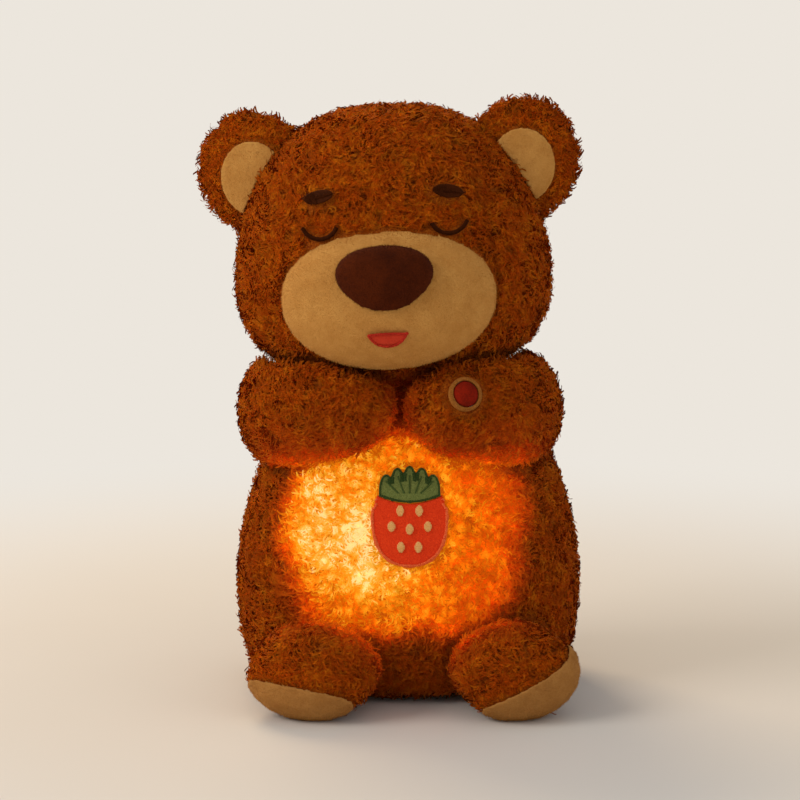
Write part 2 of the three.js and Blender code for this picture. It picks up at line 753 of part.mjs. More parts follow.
function addArms(parent) {
  const headHere = moved(headAt(clearance), headFrame);
  const muzzleHere = moved(muzzleAt(clearance), headFrame);
  const cutFree = (solid) =>
    largestOf(solid.subtract(torsoAt(runningGap)).subtract(headHere).subtract(muzzleHere));
  addMesh(parent, "arm_left", cutFree(mirrored(armAt(0))), plush);

  const frame = switchFrame();
  const { sides } = pawSwitch;
  const wellRadius = pawSwitch.ringOuterRadius + clearance;
  const well = moved(disc(wellRadius, -overrun, pawSwitch.housingDepth + clearance, sides), frame);
  const rightArm = cutFree(armAt(0)).subtract(well).subtract(wireTube(clearance));
  addMesh(parent, "arm_right", largestOf(rightArm), plush);

  const body = disc(pawSwitch.housingRadius, housingTop, pawSwitch.housingDepth, sides);
  const stemBore = disc(
    pawSwitch.stemRadius + clearance,
    housingTop - overrun,
    flangeBottom + pawSwitch.stemLength + pawSwitch.travel + clearance,
    sides,
  );
  addMesh(parent, "switch_housing", moved(body.subtract(stemBore), frame), whiteAbs);
  const stem = disc(pawSwitch.stemRadius, flangeTop, flangeBottom + pawSwitch.stemLength, sides);
  const flange = disc(pawSwitch.flangeRadius, flangeTop, flangeBottom, sides);
  addMesh(parent, "switch_plunger", moved(stem.add(flange), frame), whiteAbs);

  const ringBottom = pawSwitch.ringHeight - pawSwitch.ringProud;
  const patchBottom = flangeTop - clearance;
  const crownPoints = [0, 1 / 4, 1 / 2, 3 / 4].map((share) => [
    pawSwitch.patchRadius * Math.sqrt(1 - share ** 2),
    -pawSwitch.ringProud - pawSwitch.patchCrown * share,
  ]);
  const patchProfile = [
    [0, patchBottom],
    [pawSwitch.patchRadius, patchBottom],
    ...crownPoints,
    [0, -pawSwitch.ringProud - pawSwitch.patchCrown],
  ];
  addMesh(parent, "switch_patch", moved(turned(patchProfile, sides), frame), mouthFelt);
  const ringSolid = disc(pawSwitch.ringOuterRadius, -pawSwitch.ringProud, ringBottom, sides).subtract(
    disc(pawSwitch.ringInnerRadius, -overrun, overrun, sides),
  );
  addMesh(parent, "switch_ring", moved(ringSolid, frame), ringThread);
}

function addWire(parent) {
  const seam = (runningGap - clearance) / 2;
  addMesh(parent, "wire_in_body", largestOf(wireTube(0).intersect(torsoAt(seam))), wireJacket);
  addMesh(parent, "wire_in_arm", largestOf(wireTube(0).subtract(torsoAt(seam + clearance))), wireJacket);
}

// Legs and their soles

function addLeg(parent, side, flip) {
  const { footWidth, splay, soleOutward, soleRoll } = leg[side];
  const spine = legSpine(leg[side]);
  const legAt = (grow) => limbForm(spine, legSection(footWidth), leg, grow);
  const body = legAt(0).subtract(belowTable).subtract(torsoAt(runningGap));
  addMesh(parent, "leg_" + side, flip(largestOf(body)), plush);

  const toe = spine.getPointAt(1).addScaledVector(spine.getTangentAt(1), -leg.footHeight / 2);
  const ankle = frameAt(toe.x, toe.y, toe.z, splay + sole.turn, sole.pitch, -soleRoll);
  const frame = ankle.multiply(frameAt(soleOutward, 0, -sole.drop));
  const outline = ellipse(sole.width, sole.height);
  const liner = applique(outline, frame, legAt, sole.thickness, leg.footHeight + overrun);
  const offTable = liner.subtract(shifted(belowTable, 0, 0, clearance));
  addMesh(parent, "sole_" + side, flip(largestOf(offTable)), cream);
}

// Light engine

function bayDepth() {
  return door.thickness + 2 * cell.radius + 3 * clearance;
}

const cellPitch = 2 * cell.radius + cell.pitchGap;
const bayWidth = cell.length + 2 * (contact.plate + contact.bump + 2 * clearance);
const bayHeight = cell.count * cellPitch + 2 * clearance;
const doorWidth = bayWidth + 2 * door.lip;
const doorHeight = bayHeight + 2 * door.lip;
const rebate = door.thickness + clearance;
const bayFloor = engine.depth - bayDepth();
const doorScrewDrop = (bayHeight + door.lip) / 2;
const bossX = engine.width / 2 - boss.inset;
const bossZ = engine.height / 2 - boss.inset;
const bossPlaces = [[-bossX, -bossZ], [bossX, -bossZ], [bossX, bossZ], [-bossX, bossZ]];
const boardFront = boss.front - clearance - board.thickness;
const reflectorFront = boardFront - clearance - reflector.thickness;
const flangeFront = -clearance - dome.flange;
const bezelFront = flangeFront - clearance - bezel.thickness;

const atBosses = (shapeAt) =>
  bossPlaces.map(([x, z]) => shifted(shapeAt(), x, 0, z)).reduce((a, b) => a.add(b));
const screwHoles = () =>
  atBosses(() => disc(screw.shankRadius + clearance, -overrun, overrun, screw.sides));

function addCase(group) {
  const { width, height, depth, corner, wall } = engine;
  const outer = slab(roundedRectangle(width, height, corner), 0, depth);
  const inner = roundedRectangle(width - 2 * wall, height - 2 * wall, corner - wall);
  const tub = roundedRectangle(bayWidth + 2 * door.rim, bayHeight + 2 * door.rim, door.corner);
  const bosses = atBosses(() => disc(boss.radius, boss.front, depth, screw.sides));
  const solidInside = bosses.add(slab(tub, bayFloor - wall, depth));
  const hollow = slab(inner, -overrun, depth - wall).subtract(solidInside);
  const bay = slab(roundedRectangle(bayWidth, bayHeight, door.corner / 2), bayFloor, depth + overrun);
  const doorSeat = slab(
    roundedRectangle(doorWidth + 2 * clearance, doorHeight + 2 * clearance, door.corner + clearance),
    depth - rebate,
    depth + overrun,
  );
  const pilotEnd = boss.front + boss.pilotDepth;
  const pilots = atBosses(() => disc(boss.pilotRadius, -overrun, pilotEnd, screw.sides));
  const doorPilotHere = disc(boss.pilotRadius, depth - rebate - boss.pilotDepth, depth, screw.sides);
  const doorPilot = shifted(doorPilotHere, 0, 0, -doorScrewDrop);
  const leadWidth = 2 * (wire.grommetRadius - wire.groove);
  const leadZ = plugRise - height / 2;
  const leadPlace = frameAt((width - overrun) / 2, plugMiddle, leadZ, -Math.PI / 2);
  const leadHole = moved(slab(ellipse(leadWidth, leadWidth), 0, overrun), leadPlace);
  const shell = outer.subtract(hollow).subtract(bay).subtract(doorSeat);
  const drilled = shell.subtract(doorPilot).subtract(leadHole).subtract(pilots);
  addMesh(group, "engine_case", largestOf(drilled), whiteAbs);
}

function addLightBoards(group) {
  const { width, height, corner, wall } = engine;
  const inset = wall + clearance;
  const plate = roundedRectangle(width - 2 * inset, height - 2 * inset, corner - wall);
  const openInset = inset + reflector.rimWidth;
  const open = roundedRectangle(width - 2 * openInset, height - 2 * openInset, corner - wall);
  const boardPlate = slab(plate, boardFront, boardFront + board.thickness);
  addMesh(group, "led_board", boardPlate.subtract(screwHoles()), boardGreen);
  const trayBlock = slab(plate, 0, reflectorFront + reflector.thickness);
  let tray = trayBlock.subtract(slab(open, -overrun, reflectorFront));
  for (let i = 0; i < led.count; i++) {
    const angle = (i / led.count) * fullTurn;
    const x = led.ringRadius * Math.cos(angle);
    const z = led.ringRadius * Math.sin(angle);
    const top = boardFront - clearance - led.height;
    const bulb = turned(
      [
        [0, boardFront - clearance],
        [led.baseRadius, boardFront - clearance],
        [led.baseRadius, boardFront - clearance - led.baseHeight],
        [led.domeRadius, boardFront - clearance - led.baseHeight],
        [led.domeRadius, top + led.domeRadius],
        [led.domeRadius * Math.sin(Math.PI / 4), top + led.domeRadius * (1 - Math.cos(Math.PI / 4))],
        [0, top],
      ],
      led.sides,
    );
    addMesh(group, "led_" + (i + 1), shifted(bulb, x, 0, z), ledResin);
    tray = tray.subtract(shifted(disc(led.baseRadius + clearance, -overrun, overrun, led.sides), x, 0, z));
  }
  addMesh(group, "reflector_tray", tray.subtract(screwHoles()), whiteAbs);
}

function addDome(group) {
  const { width, height, corner } = engine;
  const rim = roundedRectangle(width, height, corner);
  const halfOutline = roundedRectangle(2 * width, 2 * height, corner);
  const frontHalf = slab(halfOutline, -overrun - domeFront, flangeFront);
  const outside = shifted(domeForm(0), 0, bezelFront, 0);
  const inside = shifted(domeForm(-dome.wall), 0, bezelFront, 0);
  const flangeRing = slab(rim, flangeFront, -clearance);
  const shell = outside.intersect(frontHalf).add(flangeRing).subtract(inside).subtract(screwHoles());
  const throatOutline = ellipse(domeWidth - 4 * dome.wall, domeHeight - 4 * dome.wall);
  const throat = slab(throatOutline, flangeFront - dome.wall, overrun, dome.rings);
  addMesh(group, "light_dome", largestOf(shell.subtract(throat)), milkyDome);
  const bezelPlate = slab(rim, bezelFront, flangeFront - clearance);
  const opening = shifted(domeForm(clearance), 0, bezelFront, 0);
  addMesh(group, "dome_bezel", bezelPlate.subtract(opening).subtract(screwHoles()), whiteAbs);
}

function crossScrew() {
  const { headRadius, headHeight, shankRadius, length, slotLength, slotWidth, slotDepth, sides } = screw;
  const body = turned(
    [
      [0, length],
      [shankRadius, length - shankRadius],
      [shankRadius, 0],
      [headRadius, 0],
      [headRadius, -headHeight],
      [0, -headHeight],
    ],
    sides,
  );
  const slot = slab(rectangle(slotLength, slotWidth), -headHeight - overrun, slotDepth - headHeight);
  return body.subtract(slot).subtract(slot.rotate([0, 90, 0]));
}

function addScrews(group) {
  bossPlaces.forEach(([x, z], i) => {
    addMesh(group, "case_screw_" + (i + 1), shifted(crossScrew(), x, bezelFront - clearance, z), steel);
  });
  const turnedRound = crossScrew().rotate([0, 0, 180]);
  addMesh(group, "door_screw", shifted(turnedRound, 0, engine.depth + clearance, -doorScrewDrop), steel);
}

function addController(group) {
  const back = bayFloor - engine.wall - clearance;
  const front = back - board.thickness;
  const z0 = plugRise - engine.height / 2;
  const height = 2 * z0;
  const { width, chip, plugWidth, plugHeight, plugDepth } = controller;
  const base = slab(roundedRectangle(width, height, engine.wall), front, back);
  const chipOutline = roundedRectangle(chip, chip, board.thickness);
  const chipBody = slab(chipOutline, front - controller.chipHeight, front);
  const canRadius = controller.capacitorRadius;
  const can = disc(canRadius, front - controller.capacitorHeight, front, led.sides);
  const plugOutline = roundedRectangle(plugWidth, plugHeight, board.thickness / 2);
  const plug = slab(plugOutline, front - plugDepth, front);
  const whole = base
    .add(shifted(chipBody, -width / 5, 0, 0))
    .add(shifted(can, 2 * canRadius - width / 2, 0, height / 2 - 2 * canRadius))
    .add(shifted(plug, (width - plugWidth) / 2, 0, z0));
  addMesh(group, "controller_board", largestOf(whole), boardGreen);
}

function contactBump() {
  const { plate, bump, bumpRadius } = contact;
  const top = -plate - bump;
  return turned([[0, -plate], [bumpRadius, -plate], [bumpRadius / 2, top], [0, top]], wire.sides);
}

function addBatteries(group) {
  const cellY = engine.depth - door.thickness - 2 * clearance - cell.radius;
  const ends = contact.plate + clearance;
  const bodyLength = cell.length - cell.nubHeight;
  const oneCell = turned(
    [
      [0, -cell.length / 2],
      [cell.radius, -cell.length / 2],
      [cell.radius, bodyLength - cell.length / 2],
      [cell.nubRadius, bodyLength - cell.length / 2],
      [cell.nubRadius, cell.length / 2],
      [0, cell.length / 2],
    ],
    cell.sides,
  );
  const stripOutline = rectangle(contact.height, bayHeight - door.corner - 2 * clearance);
  let strip = slab(stripOutline, -contact.plate, 0);
  for (let i = 0; i < cell.count; i++) {
    const z = (i - (cell.count - 1) / 2) * cellPitch;
    const way = i % 2 ? 90 : -90;
    addMesh(group, "cell_" + (i + 1), shifted(oneCell.rotate([0, 0, way]), 0, cellY, z), cellSleeve);
    strip = strip.add(shifted(contactBump(), 0, 0, z));
  }
  const atEnd = bayWidth / 2 - ends + contact.plate;
  addMesh(group, "contact_left", shifted(strip.rotate([0, 0, 90]), -atEnd, cellY, 0), nickel);
  addMesh(group, "contact_right", shifted(strip.rotate([0, 0, -90]), atEnd, cellY, 0), nickel);

  const plateY = engine.depth - door.thickness;
  let cover = slab(roundedRectangle(doorWidth, doorHeight, door.corner), plateY, engine.depth);
  for (let i = 0; i < door.ribs; i++) {
    const z = doorHeight / 2 - door.lip - i * 2 * door.ribWidth;
    const rib = slab(rectangle(door.ribLength, door.ribWidth), plateY, engine.depth + door.ribHeight);
    cover = cover.add(shifted(rib, 0, 0, z));
  }
  const wayRadius = screw.shankRadius + clearance;
  const screwWay = disc(wayRadius, plateY - overrun, engine.depth + overrun, screw.sides);
  addMesh(group, "battery_door", cover.subtract(shifted(screwWay, 0, 0, -doorScrewDrop)), whiteAbs);
}

function addGrommet(group) {
  const outer = wire.grommetRadius;
  const half = wire.grommetLength / 2;
  const neck = outer - wire.groove - clearance;
  const bore = wire.radius + clearance;
  const lips = engine.wall / 2 + clearance;
  const backHalf = [[neck, lips], [outer, lips], [outer, half], [0, half]];
  const frontHalf = backHalf.map(([radius, y]) => [radius, -y]).reverse();
  const ring = turned([...frontHalf, ...backHalf], led.sides);
  const sleeve = ring.subtract(disc(bore, -overrun, overrun, wire.sides)).rotate([0, 0, 90]);
  const z = plugRise - engine.height / 2;
  addMesh(group, "wire_grommet", shifted(sleeve, (engine.width - engine.wall) / 2, plugMiddle, z), rubber);
}

function addEngine(parent) {
  const group = new THREE.Group();
  group.position.set(0, engine.frontY, engineMiddle);
  parent.add(group);
  addCase(group);
  addLightBoards(group);
  addDome(group);
  addScrews(group);
  addController(group);
  addBatteries(group);
  addGrommet(group);
}

const bear = new THREE.Group();
addTorso(bear);
addHead(bear);
addBerryPatch(bear);
addArms(bear);
addWire(bear);
addLeg(bear, "right", (solid) => solid);
addLeg(bear, "left", mirrored);
addEngine(bear);

export default bear;
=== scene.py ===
import json
import math

import bmesh
import bpy
import numpy as np
from mathutils import Matrix, Vector, noise
from mathutils.bvhtree import BVHTree
from mathutils.kdtree import KDTree

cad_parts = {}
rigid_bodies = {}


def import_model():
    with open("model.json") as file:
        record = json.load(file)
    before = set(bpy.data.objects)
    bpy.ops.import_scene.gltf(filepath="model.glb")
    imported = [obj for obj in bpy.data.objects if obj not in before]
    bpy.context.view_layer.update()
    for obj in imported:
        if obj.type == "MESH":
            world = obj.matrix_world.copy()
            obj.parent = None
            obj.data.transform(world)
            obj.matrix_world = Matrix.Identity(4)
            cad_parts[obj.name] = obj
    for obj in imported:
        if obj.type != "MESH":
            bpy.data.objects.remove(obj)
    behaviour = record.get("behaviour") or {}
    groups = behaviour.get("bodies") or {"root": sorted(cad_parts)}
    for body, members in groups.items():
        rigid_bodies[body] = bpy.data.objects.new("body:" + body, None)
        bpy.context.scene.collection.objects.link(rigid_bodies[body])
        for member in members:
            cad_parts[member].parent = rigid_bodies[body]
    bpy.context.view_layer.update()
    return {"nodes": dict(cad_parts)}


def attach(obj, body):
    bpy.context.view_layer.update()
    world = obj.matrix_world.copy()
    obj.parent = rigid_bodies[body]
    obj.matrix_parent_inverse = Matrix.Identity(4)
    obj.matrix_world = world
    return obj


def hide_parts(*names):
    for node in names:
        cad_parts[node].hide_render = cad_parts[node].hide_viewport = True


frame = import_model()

nodes = frame["nodes"]
mm = 0.001
noise.seed_set(12)  # vector noise shifts by this seed, and without one by the clock
print("stage: frame loaded,", len(nodes), "nodes")


# small helpers

def linear(hexColour):
    # sRGB hex to the linear colour that a socket takes
    parts = [int(hexColour[i:i + 2], 16) / 255 for i in (1, 3, 5)]
    return tuple(c / 12.92 if c <= 0.04045 else ((c + 0.055) / 1.055) ** 2.4 for c in parts) + (1,)


def feed(node, inputs):
    # a node's values and links; a node given as a value stands for its first output
    for key, value in inputs.items():
        if isinstance(value, bpy.types.Node):
            value = value.outputs[0]
        if isinstance(value, bpy.types.NodeSocket):
            node.id_data.links.new(value, node.inputs[key])
        else:
            node.inputs[key].default_value = value


def addNode(tree, kind, inputs=None, stops=(), **settings):
    # a node with its settings, its colour stops, its values and its links
    node = tree.nodes.new(kind if "Node" in kind else "ShaderNode" + kind)
    for name, value in settings.items():
        setattr(node, name, value)
    while len(stops) > 2 and len(node.color_ramp.elements) < len(stops):
        node.color_ramp.elements.new(1)
    for i, (place, hexColour) in enumerate(stops):
        node.color_ramp.elements[i].position = place
        node.color_ramp.elements[i].color = linear(hexColour)
    feed(node, inputs or {})
    return node


def newMaterial(name, surface):
    made = bpy.data.materials.new(name)
    made.use_nodes = True
    tree = made.node_tree
    tree.nodes.clear()
    shader = addNode(tree, "BsdfPrincipled", surface)
    addNode(tree, "OutputMaterial", {"Surface": shader})
    return made, tree, shader


def placeObject(name, data):
    made = bpy.data.objects.new(name, data)
    bpy.context.scene.collection.objects.link(made)
    return made


def dropObject(made):
    mesh = made.data
    bpy.data.objects.remove(made)
    bpy.data.meshes.remove(mesh)


def newMesh(name, points, faces=()):
    mesh = bpy.data.meshes.new(name)
    mesh.from_pydata([tuple(point) for point in points], [], faces)
    return mesh


def freshMesh(made):
    # the evaluated shape as a plain mesh
    graph = bpy.context.evaluated_depsgraph_get()
    return bpy.data.meshes.new_from_object(made.evaluated_get(graph), depsgraph=graph)


def values(collection, kind="co", width=3):
    # one column of numbers of a mesh as an array
    found = np.empty(len(collection) * width, np.float32)
    collection.foreach_get(kind, found)
    return found.reshape(-1, width) if width > 1 else found


def setAttribute(mesh, name, numbers):
    # rows of three numbers make a vector attribute
    numbers = np.ascontiguousarray(numbers, np.float32)
    kind, key = ("FLOAT_VECTOR", "vector") if numbers.ndim == 2 else ("FLOAT", "value")
    mesh.attributes.new(name, kind, "POINT").data.foreach_set(key, numbers.ravel())


def unit(ways):
    return ways / np.maximum(np.linalg.norm(ways, axis=1, keepdims=True), 1e-6)


def alongSurface(ways, normals):
    # what of each way lies in the surface
    return ways - normals * (ways * normals).sum(1, keepdims=True)


def meshShape(*meshes):
    # copies of meshes in one bmesh
    shape = bmesh.new()
    for mesh in meshes:
        shape.from_mesh(mesh)
    return shape


def nodeShape(*names):
    # CAD nodes are loose triangles, so their doubles are merged
    shape = meshShape(*(nodes[name].data for name in names))
    bmesh.ops.remove_doubles(shape, verts=shape.verts, dist=0.00001)
    return shape


def searchTree(shape):
    tree = BVHTree.FromBMesh(shape)
    shape.free()
    return tree


def frameAt(x, y, z, turn=0, pitch=0, roll=0):
    # a place in millimetres, turned in the same order as in the part's source
    turned = Matrix.Rotation(turn, 4, "Z") @ Matrix.Rotation(pitch, 4, "X") @ Matrix.Rotation(roll, 4, "Y")
    return Matrix.Translation((x * mm, y * mm, z * mm)) @ turned


# glow of the night light through the tummy, by (x, z) in mm: 0 is unlit, 1 is the hottest place
glow = {
    "centre": (2, 83),
    "halfSize": (59.3, 55),
    "corner": 3.4,
    "edge": (0.80, 1.06),
    "fadeBelow": 0.14,
    "fadeAbove": 0.25,
    "front": -8,
    "hotPlace": (-20, 86),
    "hotReach": (130, 90, 92),
    "hottest": 0.97,
    "cooling": 0.62,
    "dimmest": 0.25,
    "patchSize": 22,
    "patchyEdge": 0.10,
    "patchyLight": 0.05,
    "spot": (-9, 75),
    "spotReach": 15,
    "spotLight": 0.10,
    "spill": 0.72,
    "spillReach": 38,
    "spillsFrom": 0.45,
}


def glowAt(points):
    x, y, z = (points / mm).T
    across = (x - glow["centre"][0]) / glow["halfSize"][0]
    rise = (z - glow["centre"][1]) / glow["halfSize"][1]
    reach = (np.abs(across) ** glow["corner"] + np.abs(rise) ** glow["corner"]) ** (1 / glow["corner"])
    wobble = np.array([noise.noise(Vector(p) / (glow["patchSize"] * mm)) for p in points])
    reach = reach + glow["patchyEdge"] * wobble
    low, high = glow["edge"]
    rise = np.clip(rise, -1, 1)
    fade = np.where(rise < 0, -glow["fadeBelow"] * rise, glow["fadeAbove"] * rise ** 3)
    inside = np.clip((high - reach) / (high - low + fade), 0, 1)
    inside = inside * inside * (3 - 2 * inside)
    left, right, upright = glow["hotReach"]
    side = x - glow["hotPlace"][0]
    away = np.hypot(side / np.where(side < 0, left, right), (z - glow["hotPlace"][1]) / upright)
    spot = np.exp(-((x - glow["spot"][0]) ** 2 + (z - glow["spot"][1]) ** 2) / glow["spotReach"] ** 2)
    light = glow["hottest"] - glow["cooling"] * away + glow["patchyLight"] * wobble + glow["spotLight"] * spot
    light = inside * np.clip(light, glow["dimmest"], 1)
    return np.where(y < glow["front"], light, 0).astype(np.float32)


def spillAt(points):
    # light that falls from the tummy on the limbs near it
    gaps = np.array([litPlaces.find(Vector(p))[2] for p in points]) / mm
    return glow["spill"] * np.clip(1 - gaps / glow["spillReach"], 0, 1) ** 2


# materials

fur = {
    "colours": [(0.05, "#8e3702"), (0.5, "#994202"), (0.95, "#b4620c")],
    "glowStops": [(0, "#000000"), (0.12, "#3a0e02"), (0.30, "#802602"), (0.50, "#a44602"), (0.66, "#bc6e06"),
                  (0.80, "#d0961c"), (0.92, "#dab450"), (1, "#eed28c")],
    "backingColours": [(0.36, "#762a02"), (0.64, "#ae5a0e")],
    "backingGlow": 0.72,
    "sharedShading": 0.28,
    "bands": 16,
}


def glowThrough(tree, shader, factor):
    # the light that shows through the fur at the place's glow level
    glowLevel = addNode(tree, "Attribute", attribute_name="glowLevel").outputs["Fac"]
    level = addNode(tree, "Math", {0: glowLevel, 1: factor}, operation="MULTIPLY")
    feed(shader, {"Emission Color": addNode(tree, "ValToRGB", {"Fac": level}, fur["glowStops"]),
                  "Emission Strength": 1})


# Curly faux fur: crimped polyester fibres of one dye, matt, with paler and darker tufts, and painted shade
# where the tufts part.
def makeFibreMaterial(name, lit):
    # light wanders over about 2 mm of neighbouring fibres, which keeps the pile soft
    made, tree, shader = newMaterial(name, {
        "Roughness": 0.8, "Specular IOR Level": 0.04, "Sheen Weight": 0.14, "Sheen Roughness": 0.5,
        "Sheen Tint": linear("#e8963a"), "Subsurface Weight": 0.7, "Subsurface Scale": 0.0028,
        "Subsurface Radius": (1, 0.66, 0.3)})
    shader.subsurface_method = "BURLEY"
    # the tint is the tuft's; along runs from root to tip, and roots are painted a little paler than tips:
    # painted light that lifts the shade between the fibres
    tint = addNode(tree, "Attribute", attribute_name="tint").outputs["Fac"]
    along = addNode(tree, "Attribute", attribute_name="along").outputs["Fac"]
    lift = addNode(tree, "Math", {0: along, 1: -0.1, 2: 0.2}, operation="MULTIPLY_ADD")
    shade = addNode(tree, "Math", {0: tint, 1: 0.8, 2: lift}, operation="MULTIPLY_ADD")
    feed(shader, {"Base Color": addNode(tree, "ValToRGB", {"Fac": shade}, fur["colours"])})
    if lit:
        spread = addNode(tree, "Math", {0: tint, 1: 0.5}, operation="SUBTRACT")
        brighter = addNode(tree, "Math", {0: along, 1: 0.07, 2: 0.93}, operation="MULTIPLY_ADD")
        factor = addNode(tree, "Math", {0: spread, 1: 0.6, 2: brighter}, operation="MULTIPLY_ADD")
        glowThrough(tree, shader, factor.outputs[0])
    return made


def patternedMaterial(name, surface, pattern, stops, bump, relief=None, rough=None, glowing=None):
    # colours over one pattern and a bump over the same or another, in the object's own space
    made, tree, shader = newMaterial(name, surface)
    place = addNode(tree, "TexCoord").outputs["Object"]
    tone = addNode(tree, pattern[0], {"Vector": place, **pattern[1]})
    height = addNode(tree, relief[0], {"Vector": place, **relief[1]}) if relief else tone
    bumped = addNode(tree, "Bump", {"Height": height, "Distance": bump[0], "Strength": bump[1]})
    feed(shader, {"Base Color": addNode(tree, "ValToRGB", {"Fac": tone}, stops), "Normal": bumped})
    if rough:
        ranged = addNode(tree, "MapRange", {"Value": tone, "To Min": rough[0], "To Max": rough[1]})
        feed(shader, {"Roughness": ranged})
    if glowing:
        glowThrough(tree, shader, glowing)
    return made


# Knitted backing under the fur: the same dye, dull, with a curled grain of about 2 mm like matted roots.
def makeBackingMaterial(name, glowing=None):
    return patternedMaterial(name, {"Roughness": 0.9, "Specular IOR Level": 0.1},
                             ("TexNoise", {"Scale": 520, "Detail": 3, "Distortion": 3}),
                             fur["backingColours"], (0.0006, 0.8), glowing=glowing)


# Short cut velour, as on toy faces: even, slightly mottled pile with a soft bloom at grazing angles.
def makeVelourMaterial(name, dark, pale, sheen, mottle=90):
    made, tree, shader = newMaterial(name, {
        "Roughness": 0.9, "Specular IOR Level": 0.1, "Sheen Weight": sheen, "Sheen Roughness": 0.4,
        "Sheen Tint": linear(pale)})
    place = addNode(tree, "TexCoord").outputs["Object"]
    broad = addNode(tree, "TexNoise", {"Vector": place, "Scale": mottle, "Detail": 4, "Roughness": 0.65})
    fine = addNode(tree, "TexNoise", {"Vector": place, "Scale": 1500, "Detail": 2})
    share = addNode(tree, "Math", {0: fine, 1: 0.35}, operation="MULTIPLY")
    mixed = addNode(tree, "Math", {0: broad, 1: 0.65, 2: share}, operation="MULTIPLY_ADD")
    bumped = addNode(tree, "Bump", {"Height": fine, "Distance": 0.0003, "Strength": 0.6})
    feed(shader, {"Base Color": addNode(tree, "ValToRGB", {"Fac": mixed}, [(0.32, dark), (0.66, pale)]),
                  "Normal": bumped})
    return made


# The nap of the same velour: fibres of 0.8 mm that differ a little in tone.
def makeFuzzMaterial(name, dark, pale):
    made, tree, shader = newMaterial(name, {
        "Roughness": 0.9, "Specular IOR Level": 0.08, "Sheen Weight": 0.06, "Sheen Tint": linear(pale)})
    tint = addNode(tree, "Attribute", attribute_name="tint").outputs["Fac"]
    feed(shader, {"Base Color": addNode(tree, "ValToRGB", {"Fac": tint}, [(0.1, dark), (0.9, pale)])})
    return made


# Pressed wool felt: matted fibres without a weave, quite matt, with a curled grain of 1 mm.
def makeFeltMaterial(name, dark, pale):
    surface = {"Roughness": 0.93, "Specular IOR Level": 0.08, "Sheen Weight": 0.1, "Sheen Tint": linear(pale)}
    return patternedMaterial(name, surface, ("TexNoise", {"Scale": 900, "Detail": 5, "Distortion": 2.5}),
                             [(0.3, dark), (0.7, pale)], (0.0005, 0.9))


# Embroidery thread: lustrous trilobal polyester laid side by side, so each stitch has its own highlight.
def makeThreadMaterial(name, dark, pale, shine=0.12):
    return patternedMaterial(name, {"Roughness": 0.6, "Specular IOR Level": shine},
                             ("TexNoise", {"Scale": 2200, "Detail": 2}), [(0.3, dark), (0.7, pale)],
                             (0.0001, 0.5))


# Moulded plastic with the fine spark-eroded grain of a tool, 0.4 mm across.
def makePlasticMaterial(name, colour, worn, roughness, **more):
    return patternedMaterial(name, {"IOR": 1.53, **more}, ("TexNoise", {"Scale": 45, "Detail": 4}),
                             [(0.35, colour), (0.75, worn)], (0.0001, 0.35), ("TexVoronoi", {"Scale": 2400}),
                             (roughness - 0.06, roughness + 0.08))


# Plated or turned metal: fine drawing marks 0.35 mm apart, coarser than real, break up the highlight.
def makeMetalMaterial(name, colour, dull, roughness):
    return patternedMaterial(name, {"Metallic": 1}, ("TexNoise", {"Scale": 250, "Detail": 5}),
                             [(0.3, dull), (0.65, colour)], (0.00005, 0.3),
                             ("TexWave", {"Scale": 900, "Distortion": 3, "Detail": 3}),
                             (roughness - 0.06, roughness + 0.14))


# Solder-masked epoxy glass board: glossy green lacquer over copper tracks about 1.6 mm apart.
def makeBoardMaterial(name):
    lacquer = {"Roughness": 0.32, "IOR": 1.55, "Coat Weight": 0.4, "Coat Roughness": 0.15}
    tracks = {"Scale": 160, "Mortar Size": 0.12, "Color1": (0, 0, 0, 1), "Color2": (0.2, 0.2, 0.2, 1),
              "Mortar": (1, 1, 1, 1)}
    return patternedMaterial(name, lacquer, ("TexBrick", tracks), [(0.2, "#14472c"), (0.8, "#2f7a4a")],
                             (0.00004, 0.5))


# Plastic with a lamp in or behind it: it shines evenly, in the lamp's colour.
def makeLitPlasticMaterial(name, colour, worn, roughness, light, strength, **more):
    return makePlasticMaterial(name, colour, worn, roughness,
                               **{"Emission Color": linear(light), "Emission Strength": strength, **more})


